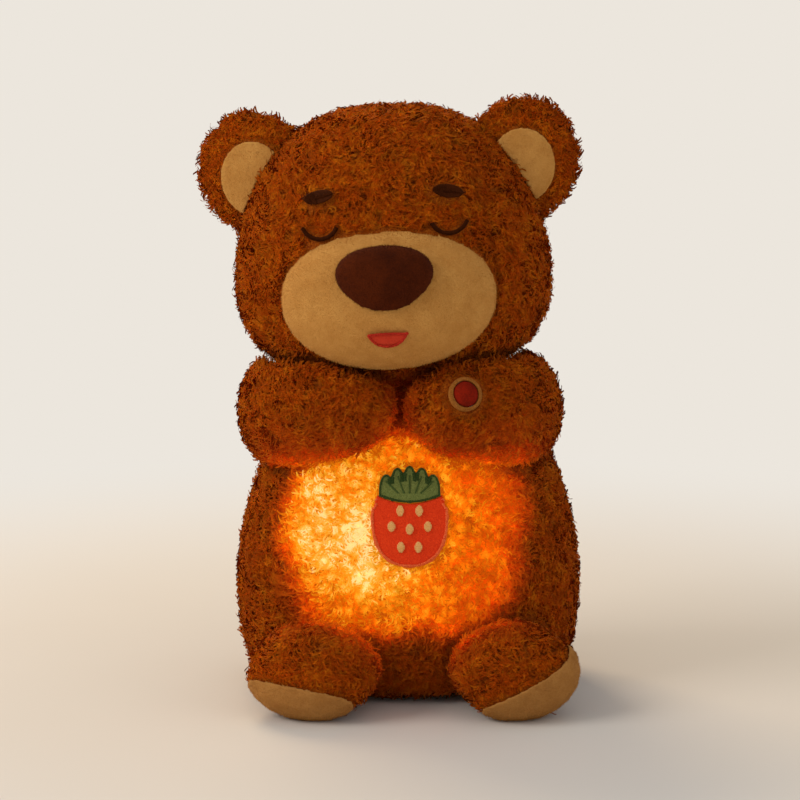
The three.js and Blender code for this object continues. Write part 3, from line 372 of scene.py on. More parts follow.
finishes = {
    "fibre": makeFibreMaterial("crimpedFurFibre", False),
    "litFibre": makeFibreMaterial("crimpedFurFibreLit", True),
    "backing": makeBackingMaterial("knittedFurBacking"),
    "litBacking": makeBackingMaterial("knittedFurBackingLit", fur["backingGlow"]),
    "creamVelour": makeVelourMaterial("creamCutVelour", "#b87f3c", "#d09a52", 0.05),
    "creamFuzz": makeFuzzMaterial("creamVelourPile", "#bb823e", "#d39e56"),
    "noseVelour": makeVelourMaterial("brownCutVelour", "#371002", "#582104", 0, 70),
    "noseFuzz": makeFuzzMaterial("brownVelourPile", "#3b1203", "#602506"),
    # the soles: the cream velour and its nap painted darker, as painted shade on soles that face down
    "paintedShadeSoleVelour": makeVelourMaterial("paintedShadeCreamVelour", "#9a6630", "#b48044", 0.03),
    "paintedShadeSoleFuzz": makeFuzzMaterial("paintedShadeCreamVelourPile", "#9d6932", "#b68242"),
    "redVelour": makeVelourMaterial("redCutVelour", "#b5301c", "#d2432b", 0.2),
    "buttonVelour": makeVelourMaterial("darkRedCutVelour", "#5c0e02", "#981f08", 0.1),
    "redThread": makeThreadMaterial("redEmbroideryThread", "#a01f12", "#d63a26"),
    "brownThread": makeThreadMaterial("brownEmbroideryThread", "#280e02", "#481e06", 0.03),
    "tanThread": makeThreadMaterial("tanEmbroideryThread", "#8a4d15", "#b87a34"),
    "berryFelt": makeFeltMaterial("berryWoolFelt", "#d92e12", "#fa4c20"),
    "berryThread": makeThreadMaterial("berryEmbroideryThread", "#ee5a28", "#ff8450", 0.05),
    "leafFelt": makeFeltMaterial("leafWoolFelt", "#566230", "#808c4c"),
    "leafThread": makeThreadMaterial("leafEmbroideryThread", "#263c18", "#3e5628"),
    "veinThread": makeThreadMaterial("veinEmbroideryThread", "#3a5026", "#566c36"),
    "seedThread": makeThreadMaterial("seedEmbroideryThread", "#e39a4c", "#f6c988"),
    "gripTape": makeFeltMaterial("wovenNylonTape", "#241a16", "#3b2b24"),
    "gripNylon": makeThreadMaterial("nylonHooks", "#2b201a", "#54443a"),
    "whiteAbs": makePlasticMaterial("mouldedWhiteAbs", "#e4e0d7", "#eeebe4", 0.42),
    "milkyDome": makeLitPlasticMaterial("opalPolycarbonate", "#f3ead8", "#fbf4e6", 0.34, "#ffb24a", 0.8,
                                        **{"Subsurface Weight": 0.3}),
    "board": makeBoardMaterial("solderMaskedBoard"),
    "ledResin": makeLitPlasticMaterial("clearLedResin", "#fff0cf", "#fff6e0", 0.15, "#ffc765", 1.5),
    "cellSleeve": makePlasticMaterial("shrunkCellSleeve", "#27486b", "#34597f", 0.3),
    "nickel": makeMetalMaterial("nickelPlatedSteel", "#c9c8c3", "#a3a19b", 0.28),
    "steel": makeMetalMaterial("zincPlatedSteel", "#a7a9ab", "#85878a", 0.33),
    "wireJacket": makePlasticMaterial("pvcWireJacket", "#1b1918", "#282523", 0.5),
    "rubber": makePlasticMaterial("mouldedRubber", "#262423", "#33302e", 0.75),
}

# the CAD nodes that stay take their finish by how their names begin
keptNodes = {
    "engine_case": "whiteAbs", "reflector": "whiteAbs", "dome_bezel": "whiteAbs", "battery_door": "whiteAbs",
    "switch_housing": "whiteAbs", "switch_plunger": "whiteAbs", "light_dome": "milkyDome",
    "led_board": "board", "controller_board": "board", "led_": "ledResin", "cell_": "cellSleeve",
    "contact_": "nickel", "case_screw": "steel", "door_screw": "steel", "wire_in": "wireJacket",
    "wire_grommet": "rubber",
}
for name, node in nodes.items():
    found = next((finish for start, finish in keptNodes.items() if name.startswith(start)), None)
    if found:
        node.material_slots[0].material = finishes[found]
print("stage: materials made")


# soft skins: each is its CAD form, remeshed, smoothed and sunk by the height that its fur takes up

headFrame = frameAt(-0.4, -6, 146, math.radians(-2.5), 0, math.radians(-3))
sewnCovers = ["eye_right", "eye_left", "brow_right", "brow_left"]
switchNodes = ["switch_housing", "switch_plunger", "switch_patch", "switch_ring"]
limbs = {"arm_right": switchNodes, "arm_left": [], "leg_right": ["sole_right"], "leg_left": ["sole_left"]}

# voxels and insets in mm; fixed nodes lie on the skin and moving ones press on it; fur keeps clear of the
# covers, and of the space above those with True
plush = {"body": "bear", "slot": "brown_plush", "voxel": 2.1, "inset": 2.6, "fill": 0.85, "fixed": [],
         "moving": [], "covers": [], "lightAt": None, "parts": 1}
skins = {
    "torso": {**plush, "slot": "glow_plush", "smoothing": 8, "parts": 4, "lightAt": glowAt,
              "fixed": ["head", "fruit_patch", "fruit_leaves"], "moving": list(limbs),
              "covers": [(["fruit_patch", "fruit_leaves"], True)]},
    "head": {**plush, "smoothing": 10, "fill": 0.9, "parts": 3,
             "fixed": ["torso", "ear_right", "ear_left", "muzzle", "nose"] + sewnCovers,
             "moving": ["arm_right", "arm_left"], "covers": [(["muzzle"], False), (sewnCovers, True)]},
    "back_flap": {**plush, "body": "flap", "voxel": 1.2, "smoothing": 2, "inset": 2, "fill": 0.8,
                  "fixed": ["hook_strip"], "moving": ["torso"]},
}
for side in ("right", "left"):
    lining = "ear_lining_" + side
    skins["ear_" + side] = {**plush, "voxel": 1.6, "smoothing": 5, "fill": 0.8, "fixed": ["head", lining],
                            "covers": [([lining], True)]}
for limb, fixed in limbs.items():
    skins[limb] = {**plush, "body": limb, "voxel": 2, "smoothing": 6, "fixed": fixed, "lightAt": spillAt,
                   "moving": ["torso", "head", "muzzle"] if limb.startswith("arm") else ["torso"],
                   "covers": [(fixed, True)] if fixed else []}
# the arm with the switch: finer, so that its well keeps its edge
skins["arm_right"].update({"voxel": 1.2, "smoothing": 5})

# how the fur lies: whorls, a little droop, away from covers, and flat where something presses; sizes in mm
pileField = {"swirl": 13, "fineSwirl": 5, "fineShare": 0.55, "droop": 0.2, "avoid": 4, "turnAway": 0.6,
             "contact": 0.35, "flatPile": 0.34, "besidePile": 0.62, "pressedOver": 6, "thinUnder": 2,
             "thinned": 0.5, "sinkFrom": 0.3, "sinkOver": 3.5, "cavityDepth": 1.8, "flapFacing": 0.35}


def nearestTo(tree, points):
    # distance in mm and the way from the nearest place, for each point
    distances, ways = np.full(len(points), 99.0), np.zeros((len(points), 3))
    for i, point in enumerate(points):
        place, _, _, gap = tree.find_nearest(Vector(point))
        if place is not None:
            distances[i] = gap / mm
        if gap:
            ways[i] = (np.array(point) - np.array(place)) / gap
    return distances, ways


def spreadOver(edges, numbers, rounds):
    # evens out numbers between neighbouring vertices
    count = np.bincount(edges.ravel(), minlength=len(numbers)).astype(float)
    for _ in range(rounds):
        total = np.bincount(edges[:, 0], numbers[edges[:, 1]], len(numbers))
        total += np.bincount(edges[:, 1], numbers[edges[:, 0]], len(numbers))
        numbers = 0.5 * numbers + 0.5 * total / np.maximum(count, 1)
    return numbers


def smoothForm(name, node, voxel, smoothing):
    # a CAD form in voxels, smoothed, without its loose or inner islands
    mesh = bpy.data.meshes.new(name)
    shape = nodeShape(node)
    shape.to_mesh(mesh)
    shape.free()
    made = placeObject(name, mesh)
    remesh = made.modifiers.new("remesh", "REMESH")
    remesh.mode = "VOXEL"
    remesh.voxel_size = voxel * mm
    smooth = made.modifiers.new("smooth", "SMOOTH")
    smooth.factor = 0.5
    smooth.iterations = smoothing
    fresh = freshMesh(made)
    made.modifiers.clear()
    made.data = fresh
    bpy.data.meshes.remove(mesh)
    shape = meshShape(fresh)
    islands, left = [], set(shape.verts)
    while left:
        found, queue = set(), [left.pop()]
        while queue:
            vertex = queue.pop()
            found.add(vertex)
            near = {edge.other_vert(vertex) for edge in vertex.link_edges} & left
            left -= near
            queue += near
        islands.append(found)
    islands.sort(key=len)
    bmesh.ops.delete(shape, geom=[v for island in islands[:-1] for v in island], context="VERTS")
    shape.to_mesh(fresh)
    shape.free()
    fresh.polygons.foreach_set("use_smooth", np.ones(len(fresh.polygons), bool))
    return made


def hullDepth(node, points):
    # how deep each point lies under the convex hull of a CAD node, in mm
    shape = nodeShape(node)
    hull = bmesh.ops.convex_hull(shape, input=shape.verts)
    bmesh.ops.delete(shape, geom=hull["geom_interior"] + hull["geom_unused"], context="VERTS")
    outer = {face for face in hull["geom"] if isinstance(face, bmesh.types.BMFace)}
    bmesh.ops.delete(shape, geom=[face for face in shape.faces if face not in outer], context="FACES_ONLY")
    return nearestTo(searchTree(shape), points)[0]


def furWay(points, normals, fixedGap, fixedWay):
    # the way the fur lies on each point, along the surface
    swirl = np.empty((len(points), 3))
    for i, point in enumerate(points):
        place = Vector(point) / mm
        fine = noise.noise_vector(place / pileField["fineSwirl"] + Vector((31, 7, 12)))
        swirl[i] = noise.noise_vector(place / pileField["swirl"]) + pileField["fineShare"] * fine
    swirl = unit(swirl)
    swirl[:, 2] -= pileField["droop"]
    near = pileField["turnAway"] * np.clip(1 - fixedGap / pileField["avoid"], 0, 1)[:, None]
    swirl = swirl * (1 - near) + near * fixedWay
    return unit(alongSurface(swirl, normals))


def makeSkin(node, settings):
    made = smoothForm(node + "_skin", node, settings["voxel"], settings["smoothing"])
    mesh = made.data
    points, normals = values(mesh.vertices), values(mesh.vertices, "normal")
    edges = np.array([edge.vertices[:] for edge in mesh.edges])
    fixedGap, fixedWay = nearestTo(searchTree(nodeShape(*settings["fixed"])), points)
    movingGap, _ = nearestTo(searchTree(nodeShape(*settings["moving"])), points)
    furry = fixedGap > pileField["contact"]
    if node == "torso":
        # none in the cavity
        furry &= hullDepth(node, points) < pileField["cavityDepth"]
    if node == "back_flap":
        # only on the face that looks away from the torso's axis
        furry = (normals * unit(points * (1, 1, 0))).sum(1) > pileField["flapFacing"]
    # the table: fur under the seat is pressed flat
    tableGap = np.where(normals[:, 2] < -0.2, points[:, 2] / mm / np.maximum(-normals[:, 2], 0.2), 99)
    pressing = np.minimum(movingGap, tableGap)
    flat, beside = pileField["flatPile"], pileField["besidePile"]
    pressedPile = flat + (1 - flat) * pressing / pileField["pressedOver"]
    besidePile = beside + (1 - beside) * fixedGap / pileField["avoid"]
    pile = np.clip(np.minimum(pressedPile, besidePile), flat, 1)
    sunk = furry * np.clip((fixedGap - pileField["sinkFrom"]) / pileField["sinkOver"], 0, 1)
    sunk = spreadOver(edges, sunk, 3)
    lowest = points[:, 2].min()
    points = points - normals * (sunk * settings["inset"] * mm)[:, None]
    points[:, 2] = np.maximum(points[:, 2], lowest)
    mesh.vertices.foreach_set("co", points.astype(np.float32).ravel())
    mesh.update()
    density = np.where(pressing < pileField["thinUnder"], pileField["thinned"], 1)
    setAttribute(mesh, "furDensity", furry * density)
    setAttribute(mesh, "pile", pile)
    setAttribute(mesh, "lean", furWay(points, normals, fixedGap, fixedWay))
    if settings["lightAt"]:
        setAttribute(mesh, "glowLevel", settings["lightAt"](points))
    mesh.materials.append(finishes["litBacking" if settings["lightAt"] else "backing"])
    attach(made, settings["body"])
    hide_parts(node)
    print("stage: skin of", node, len(points), "points")
    return made


# fibres: flat ribbons that end in a point, with sizes in mm

strand = {"reach": 6.2, "bend": 2.2, "bends": (0.75, 0.1), "rise": 2.4, "rises": (0.85, 0.1), "arch": 1.9,
          "width": 1.0, "taper": 0.3, "stations": [0, 0.26, 0.56, 0.86, 1], "kinds": 6, "perMm": 1.35}
fuzz = {"length": 0.8, "width": 0.2, "tilt": 0.25, "taper": 0.3, "stations": [0, 0.55, 1], "kinds": 3}


def ribbonMesh(name, centres, widths, alongs, flatTo=(0, 1, 0)):
    # pairs of vertices and one tip
    centres = [Vector(centre) for centre in centres]
    points = []
    for centre, after, width in zip(centres, centres[1:], widths):
        ahead = after - centre
        side = ahead.cross(Vector(flatTo)).normalized().cross(ahead).normalized() * width / 2
        points += [centre - side, centre + side]
    last = len(points) - 2
    faces = [(i, i + 1, i + 3, i + 2) for i in range(0, last, 2)] + [(last, last + 1, last + 2)]
    mesh = newMesh(name, points + [centres[-1]], faces)
    setAttribute(mesh, "along", np.append(np.repeat(alongs[:-1], 2), 1))
    return mesh


def strandCollection(name, kinds, makeOne):
    # the few shapes that the fibres are picked from, kept outside the scene
    group = bpy.data.collections.new(name)
    for i in range(kinds):
        group.objects.link(bpy.data.objects.new(name + str(i), makeOne(i)))
    return group


def curlyStrand(i):
    # a crimped fibre: it rises, then curls to one side as it runs along the surface
    bend = strand["bend"] * (strand["bends"][0] + strand["bends"][1] * i) * (1 if i % 2 else -1)
    rise = strand["rise"] * (strand["rises"][0] + strand["rises"][1] * (i % 3))
    centres, widths = [], []
    for share in strand["stations"]:
        ahead = strand["reach"] * math.sin(bend * share) / bend
        aside = strand["reach"] * (1 - math.cos(bend * share)) / bend
        centres.append((ahead * mm, aside * mm, rise * math.sin(strand["arch"] * share) * mm))
        widths.append(strand["width"] * (1 - strand["taper"] * share) * mm)
    return ribbonMesh("curlyStrand" + str(i), centres, widths, strand["stations"], (-0.8 * bend, 0, 1))


def shortStrand(i):
    tilt, length = fuzz["tilt"] * fuzz["length"] * mm, fuzz["length"] * mm
    centres = [(tilt * share ** 2, 0, length * share) for share in fuzz["stations"]]
    widths = [fuzz["width"] * mm, (1 - fuzz["taper"]) * fuzz["width"] * mm]
    return ribbonMesh("shortStrand" + str(i), centres, widths, fuzz["stations"])


def newGeometryTree(name, result, inputs):
    # a tree with named inputs, each with its kind of socket, and one result
    tree = bpy.data.node_groups.new(name, "GeometryNodeTree")
    for label, kind in inputs.items():
        tree.interface.new_socket(label, in_out="INPUT", socket_type="NodeSocket" + kind)
    tree.interface.new_socket(result, in_out="OUTPUT", socket_type="NodeSocketGeometry")
    return tree, addNode(tree, "NodeGroupInput").outputs


def finishTree(tree, instances, given, result):
    whole = addNode(tree, "GeometryNodeRealizeInstances", {"Geometry": instances})
    finished = addNode(tree, "GeometryNodeSetMaterial", {"Geometry": whole, "Material": given["Finish"]})
    addNode(tree, "NodeGroupOutput", {result: finished})
    return tree


def makePileTree():
    # fibres scattered over a skin, leaning as its lean attribute says
    tree, given = newGeometryTree("plushPile", "Pile", {
        "Skin": "Geometry", "Strands": "Collection", "Per square metre": "Float", "Lean": "Float",
        "Untidiness": "Float", "Lift": "Float", "Shortest": "Float", "Longest": "Float", "Kinds": "Int",
        "Seed": "Int", "Finish": "Material"})
    named = "GeometryNodeInputNamedAttribute"
    density = addNode(tree, named, {"Name": "furDensity"}, data_type="FLOAT")
    pile = addNode(tree, named, {"Name": "pile"}, data_type="FLOAT")
    lean = addNode(tree, named, {"Name": "lean"}, data_type="FLOAT_VECTOR")
    amount = addNode(tree, "Math", {0: density, 1: given["Per square metre"]}, operation="MULTIPLY")
    scattered = addNode(tree, "GeometryNodeDistributePointsOnFaces",
                        {"Mesh": given["Skin"], "Density": amount, "Seed": given["Seed"]})
    normal = scattered.outputs["Normal"]
    rooted = addNode(tree, "GeometryNodeStoreNamedAttribute",
                     {"Geometry": scattered, "Name": "rootNormal", "Value": normal},
                     data_type="FLOAT_VECTOR", domain="POINT")
    # the way of each fibre: up by the pile's height, over by its lean, and a little astray
    rising = addNode(tree, "Math", {0: pile, 1: given["Lift"]}, operation="MULTIPLY")
    up = addNode(tree, "VectorMath", {0: normal, "Scale": rising}, operation="SCALE")
    over = addNode(tree, "VectorMath", {0: lean, "Scale": given["Lean"]}, operation="SCALE")
    stray = addNode(tree, "FunctionNodeRandomValue", {0: (-1, -1, -1), 1: (1, 1, 1), "Seed": given["Seed"]},
                    data_type="FLOAT_VECTOR")
    strayed = addNode(tree, "VectorMath", {0: stray, "Scale": given["Untidiness"]}, operation="SCALE")
    leaning = addNode(tree, "VectorMath", {0: up, 1: over}, operation="ADD")
    way = addNode(tree, "VectorMath", {0: leaning, 1: strayed}, operation="ADD")
    upright = addNode(tree, "FunctionNodeAlignRotationToVector", {"Vector": way}, axis="Z")
    facing = addNode(tree, "FunctionNodeAlignRotationToVector", {"Rotation": upright, "Vector": over},
                     axis="X", pivot_axis="Z")
    spin = addNode(tree, "FunctionNodeRandomValue", {2: -1.0, 3: 1.0, "Seed": 11}, data_type="FLOAT")
    spun = addNode(tree, "FunctionNodeAxisAngleToRotation", {"Axis": (0, 0, 1), "Angle": spin.outputs[1]})
    turned = addNode(tree, "FunctionNodeRotateRotation", {"Rotation": facing, "Rotate By": spun},
                     rotation_space="LOCAL")
    size = addNode(tree, "FunctionNodeRandomValue", {2: given["Shortest"], 3: given["Longest"], "Seed": 23},
                   data_type="FLOAT")
    # pressed pile is shorter too
    shorter = addNode(tree, "MapRange", {"Value": pile, "From Min": 0.3, "To Min": 0.62, "To Max": 1})
    sized = addNode(tree, "Math", {0: size.outputs[1], 1: shorter}, operation="MULTIPLY")
    last = addNode(tree, "Math", {0: given["Kinds"], 1: 1}, operation="SUBTRACT")
    pick = addNode(tree, "FunctionNodeRandomValue", {4: 0, 5: last, "Seed": 5}, data_type="INT")
    shapes = addNode(tree, "GeometryNodeCollectionInfo",
                     {"Collection": given["Strands"], "Separate Children": True, "Reset Children": True})
    placed = addNode(tree, "GeometryNodeInstanceOnPoints",
                     {"Points": rooted, "Instance": shapes, "Pick Instance": True,
                      "Instance Index": pick.outputs[2], "Rotation": turned, "Scale": sized})
    return finishTree(tree, placed, given, "Pile")


pileTree = makePileTree()
curlyStrands = strandCollection("curlyStrand", strand["kinds"], curlyStrand)
shortStrands = strandCollection("shortStrand", fuzz["kinds"], shortStrand)
thin = 1


def runTree(made, tree, inputs):
    # the tree's result on an object, as a plain mesh
    modifier = made.modifiers.new(tree.name, "NODES")
    modifier.node_group = tree
    for item in tree.interface.items_tree:
        if item.in_out == "INPUT" and item.name in inputs:
            modifier[item.identifier] = inputs[item.name]
    mesh = freshMesh(made)
    made.modifiers.remove(modifier)
    return mesh


def ribbonPiece(name, strands, rootNormals, alongs, tints, glows, finish):
    # strands is an array of strand, vertex and coordinate
    count, size = strands.shape[:2]
    pairs = (size - 1) // 2
    # their sides are put so that the upper face looks out
    halfway = pairs // 2 * 2
    across = strands[:, halfway + 1] - strands[:, halfway]
    ahead = strands[:, min(halfway + 2, size - 1)] - strands[:, halfway]
    under = (np.cross(across, ahead) * rootNormals).sum(1) < 0
    swapped = [i ^ 1 for i in range(size - 1)] + [size - 1]
    strands = np.where(under[:, None, None], strands[:, swapped], strands)
    quads = [i + step for i in range(0, size - 3, 2) for step in (0, 1, 3, 2)]
    loops = (np.arange(count)[:, None] * size + np.array(quads + [size - 3, size - 2, size - 1])).ravel()
    sizes = np.tile([4] * (pairs - 1) + [3], count)
    mesh = bpy.data.meshes.new(name)
    mesh.vertices.add(count * size)
    mesh.vertices.foreach_set("co", np.ascontiguousarray(strands, np.float32).ravel())
    mesh.loops.add(len(loops))
    mesh.loops.foreach_set("vertex_index", loops.astype(np.int32))
    mesh.polygons.add(len(sizes))
    mesh.polygons.foreach_set("loop_start", np.concatenate([[0], np.cumsum(sizes)[:-1]]).astype(np.int32))
    mesh.update(calc_edges=True)
    mesh.validate()
    setAttribute(mesh, "along", np.tile(alongs, count))
    setAttribute(mesh, "tint", tints.ravel())
    # places of one tint and one glow lie on the same place of the map, as their colour is the same
    u = 0.02 + 0.96 * tints.ravel() + 0.006 * np.tile([-1, 1] * pairs + [0], count)
    v = 0.05 + 0.9 * np.tile(alongs, count)
    if glows is not None:
        setAttribute(mesh, "glowLevel", np.repeat(glows, size))
        v = (np.repeat(np.rint(glows * (fur["bands"] - 1)), size) + v) / fur["bands"]
    layer = mesh.uv_layers.new(name="OFBake")
    layer.data.foreach_set("uv", np.stack([u, v], 1)[loops].astype(np.float32).ravel())
    mesh.materials.append(finish)
    mesh.polygons.foreach_set("use_smooth", np.ones(len(sizes), bool))
    # soft piles scatter light between their fibres: part of the shading is that of the surface below
    own, shared = values(mesh.vertices, "normal"), np.repeat(rootNormals, size, 0)
    blended = own * (1 - fur["sharedShading"]) + shared * fur["sharedShading"]
    mesh.normals_split_custom_set_from_vertices(unit(blended))
    return placeObject(name, mesh)


# fibres that run into a cover, or over the face of a flat one, are turned round, then cut shorter, and left
# out if nothing frees the cover; distances in mm
clearance = {"search": 9, "touching": 0.25, "under": 3, "over": 5, "facing": 0.93, "trims": (0.7, 0.6, 0.6),
             "checked": [4, 6, 8], "table": 0.25}


def inTheWay(points, tree, flat):
    for point in points:
        place, normal, _, gap = tree.find_nearest(Vector(point))
        over = (Vector(point) - place).normalized().dot(normal)
        beneath = gap < clearance["under"] * mm and over < 0
        above = flat and gap < clearance["over"] * mm and over > clearance["facing"]
        if gap < clearance["touching"] * mm or beneath or above:
            return True
    return False


def clearOf(strands, rootNormals, covers):
    kept = np.ones(len(strands), bool)
    for names, flat in covers:
        tree = searchTree(nodeShape(*names))
        held = [i for i in np.flatnonzero(kept)
                if tree.find_nearest(Vector(strands[i, 0]), clearance["search"] * mm)[0]]
        for trim in (None,) + clearance["trims"] + (0,):
            held = [i for i in held if inTheWay(strands[i, clearance["checked"]], tree, flat)]
            ways = strands[held] - strands[held, :1]
            if trim is None:
                up = rootNormals[held][:, None]
                strands[held] = strands[held, :1] - (ways - 2 * (ways * up).sum(2, keepdims=True) * up)
            elif trim:
                strands[held] = strands[held, :1] + trim * ways
        kept[held] = False
    return kept


# tints vary over tufts, with painted shade in the partings between them, over wider patches, and little from
# fibre to fibre; sizes in mm
tufts = {"size": 5.5, "wander": 0.35, "wanderSize": 3.5, "paintedPartingShade": 2.4, "share": 0.5, "patchSize": 11,
         "patchShare": 0.3, "fibreShare": 0.22, "darkest": 0.14}


def tuftTint(place):
    wander = tufts["wander"] * noise.noise_vector(place / (tufts["wanderSize"] * mm))
    gaps = noise.voronoi(place / (tufts["size"] * mm) + wander)[0]
    patch = noise.noise(place / (tufts["patchSize"] * mm))
    # painted shade: fibres near a parting between tufts are darker, fibres in a tuft's middle paler
    return tufts["share"] * min(1, tufts["paintedPartingShade"] * (gaps[1] - gaps[0])) + tufts["patchShare"] * patch


def growPile(skin, name, settings, collection, perMm, finish, seed, look):
    inputs = {"Strands": collection, "Kinds": len(collection.objects), "Per square metre": perMm * 1e6 * thin,
              "Seed": seed, "Finish": finish, **look}
    grown = runTree(skin, pileTree, inputs)
    one = collection.objects[0].data
    size = len(one.vertices)
    strands = values(grown.vertices).reshape(-1, size, 3)
    strands[:, :, 2] = np.maximum(strands[:, :, 2], clearance["table"] * mm)
    rootNormals = values(grown.attributes["rootNormal"].data, "vector").reshape(-1, size, 3)[:, 0]
    bpy.data.meshes.remove(grown)
    kept = clearOf(strands, rootNormals, settings.get("covers", []))
    strands, rootNormals = strands[kept], rootNormals[kept]
    roots = strands[:, 0]
    tinted = np.array([[tuftTint(Vector(place)) for place in each] for each in strands[:, ::2]])
    chance = np.random.default_rng(seed).random(len(roots))
    tints = np.repeat(tinted, 2, 1)[:, :size] + tufts["fibreShare"] * chance[:, None] + tufts["darkest"]
    tints = np.clip(tints, 0, 1)
    glows = settings["lightAt"](roots) if settings.get("lightAt") else np.zeros(len(roots))
    glows = np.rint(glows * (fur["bands"] - 1)) / (fur["bands"] - 1)
    # pieces are sectors round the upright through the middle of the skin
    middle = roots.mean(0)
    order = np.argsort(np.arctan2(roots[:, 1] - middle[1], roots[:, 0] - middle[0]))
    parts = settings.get("parts", 1)
    alongs = values(one.attributes["along"].data, "value", 1)
    for i, chosen in enumerate(np.array_split(order, parts)):
        piece = ribbonPiece(name + ("_" + str(i + 1) if parts > 1 else ""), strands[chosen],
                            rootNormals[chosen], alongs, tints[chosen],
                            glows[chosen] if settings.get("lightAt") else None, finish)
        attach(piece, settings["body"])
    print("stage:", name, len(roots), "fibres in", parts, "pieces")


furLook = {"Lean": 0.3, "Untidiness": 0.31, "Lift": 1, "Shortest": 0.65, "Longest": 1.08}
pileSeed = 40
for node, settings in skins.items():
    skin = makeSkin(node, settings)
    pileSeed += 1
    growPile(skin, node + "_pile", settings, curlyStrands, strand["perMm"],
             finishes["litFibre" if settings["lightAt"] else "fibre"], pileSeed, furLook)
    if node == "torso":
        # the places whose light falls on the limbs
        places = values(skin.data.vertices)
        places = places[glowAt(places) > glow["spillsFrom"]]
        litPlaces = KDTree(len(places))
        for i, place in enumerate(places):
            litPlaces.insert(Vector(place), i)
        litPlaces.balance()


# velour, felt and sewn covers: their CAD forms remeshed finely, some with a short nap

plain = {"body": "bear", "voxel": 0.4, "smoothing": 2, "inset": 0}
lining = {**plain, "slot": "cream_velour", "voxel": 0.6, "smoothing": 3, "finish": "creamVelour",
          "nap": "creamFuzz", "perMm": 2}
# the soles take the cream velour with painted shade
sole = {**lining, "finish": "paintedShadeSoleVelour", "nap": "paintedShadeSoleFuzz"}
eye = {**plain, "slot": "brown_thread", "voxel": 0.35, "finish": "brownThread"}
brow = {**eye, "voxel": 0.4}
tape = {**plain, "slot": "grip_tape", "smoothing": 1, "finish": "gripTape"}
covers = {
    "muzzle": {**plain, "slot": "cream_velour", "voxel": 1.6, "smoothing": 8, "inset": 0.5, "fill": 0.9,
               "finish": "creamVelour", "nap": "creamFuzz", "perMm": 2.6, "beside": ["head", "nose"]},
    "nose": {**plain, "slot": "nose_velour", "voxel": 1.1, "smoothing": 6, "inset": 0.5, "fill": 0.95,
             "finish": "noseVelour", "nap": "noseFuzz", "perMm": 2.6, "beside": ["muzzle"]},
    "ear_lining_right": {**lining, "carrier": "ear_right"},
    "ear_lining_left": {**lining, "carrier": "ear_left"},
    "sole_right": {**sole, "body": "leg_right", "carrier": "leg_right"},
    "sole_left": {**sole, "body": "leg_left", "carrier": "leg_left"},
    "mouth_patch": {**plain, "slot": "red_velour", "finish": "redVelour"},
    "fruit_patch": {**plain, "slot": "berry_felt", "voxel": 0.5, "smoothing": 3, "finish": "berryFelt"},
    "fruit_leaves": {**plain, "slot": "leaf_felt", "voxel": 0.5, "finish": "leafFelt"},
    "switch_patch": {**plain, "body": "button", "slot": "red_velour", "voxel": 0.45, "smoothing": 3,
                     "finish": "buttonVelour"},
    "switch_ring": {**plain, "body": "arm_right", "slot": "tan_thread", "finish": "tanThread"},
    "eye_right": eye, "eye_left": eye, "brow_right": brow, "brow_left": brow,
    "hook_strip": {**tape, "body": "flap"}, "loop_strip": tape,
}
nap = {"gap": 1, "facing": 0.3,
       "look": {"Lean": 0.5, "Untidiness": 0.5, "Lift": 1.0, "Shortest": 0.7, "Longest": 1.1}}


def makeCover(node, settings):
    made = smoothForm(node + "_cover", node, settings["voxel"], settings["smoothing"])
    mesh = made.data
    points, normals = values(mesh.vertices), values(mesh.vertices, "normal")
    points = points - normals * settings["inset"] * mm
    mesh.vertices.foreach_set("co", points.astype(np.float32).ravel())
    if "nap" in settings:
        # none beside a neighbour, and none under a lining, where it lies on its carrier
        if "beside" in settings:
            napped = nearestTo(searchTree(nodeShape(*settings["beside"])), points)[0] > nap["gap"]
        else:
            ways = nearestTo(searchTree(nodeShape(settings["carrier"])), points)[1]
            napped = (normals * ways).sum(1) > nap["facing"]
        prepareNap(mesh, napped, alongSurface(np.tile([0.0, 0.0, -1.0], (len(points), 1)), normals))
    mesh.materials.append(finishes[settings["finish"]])
    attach(made, settings["body"])
    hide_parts(node)
    return made


def prepareNap(mesh, napped, lean):
    setAttribute(mesh, "furDensity", napped)
    setAttribute(mesh, "pile", np.ones(len(napped)))
    setAttribute(mesh, "lean", lean)


coverObjects = {}
for node, settings in covers.items():
    coverObjects[node] = makeCover(node, settings)
    if "nap" in settings:
        pileSeed += 1
        growPile(coverObjects[node], node + "_nap", settings, shortStrands, settings["perMm"],
                 finishes[settings["nap"]], pileSeed, nap["look"])
print("stage: velour and felt pieces made")


# embroidery: threads laid across a line or over a shape; a real thread is 0.3 mm wide, and these are drawn
# at 0.5 mm so that the stitches show

thread = {"radius": 0.25, "arch": 0.42, "sunk": 0.12, "sides": 5,
          "stations": [-0.5, -0.42, -0.2, 0.2, 0.42, 0.5]}


def tubeFaces(rings, sides):
    # quads between rings of points
    return [(start + k, start + (k + 1) % sides, start + (k + 1) % sides + sides, start + k + sides)
            for start in range(0, (rings - 1) * sides, sides) for k in range(sides)]


def threadMesh():
    # one stitch of length 1 along X, arched over what it covers
    sides, radius = thread["sides"], thread["radius"]
    points = []
    for x in thread["stations"]:
        lift = thread["arch"] * (1 - (2 * x) ** 4) - thread["sunk"]
        for angle in (math.tau * k / sides for k in range(sides)):
            points.append((x, radius * math.cos(angle) * mm, (lift + radius * math.sin(angle)) * mm))
    ends = [tuple(range(sides))[::-1], tuple(range(len(points) - sides, len(points)))]
    mesh = newMesh("oneStitch", points, tubeFaces(len(thread["stations"]), sides) + ends)
    mesh.polygons.foreach_set("use_smooth", np.ones(len(mesh.polygons), bool))
    return mesh


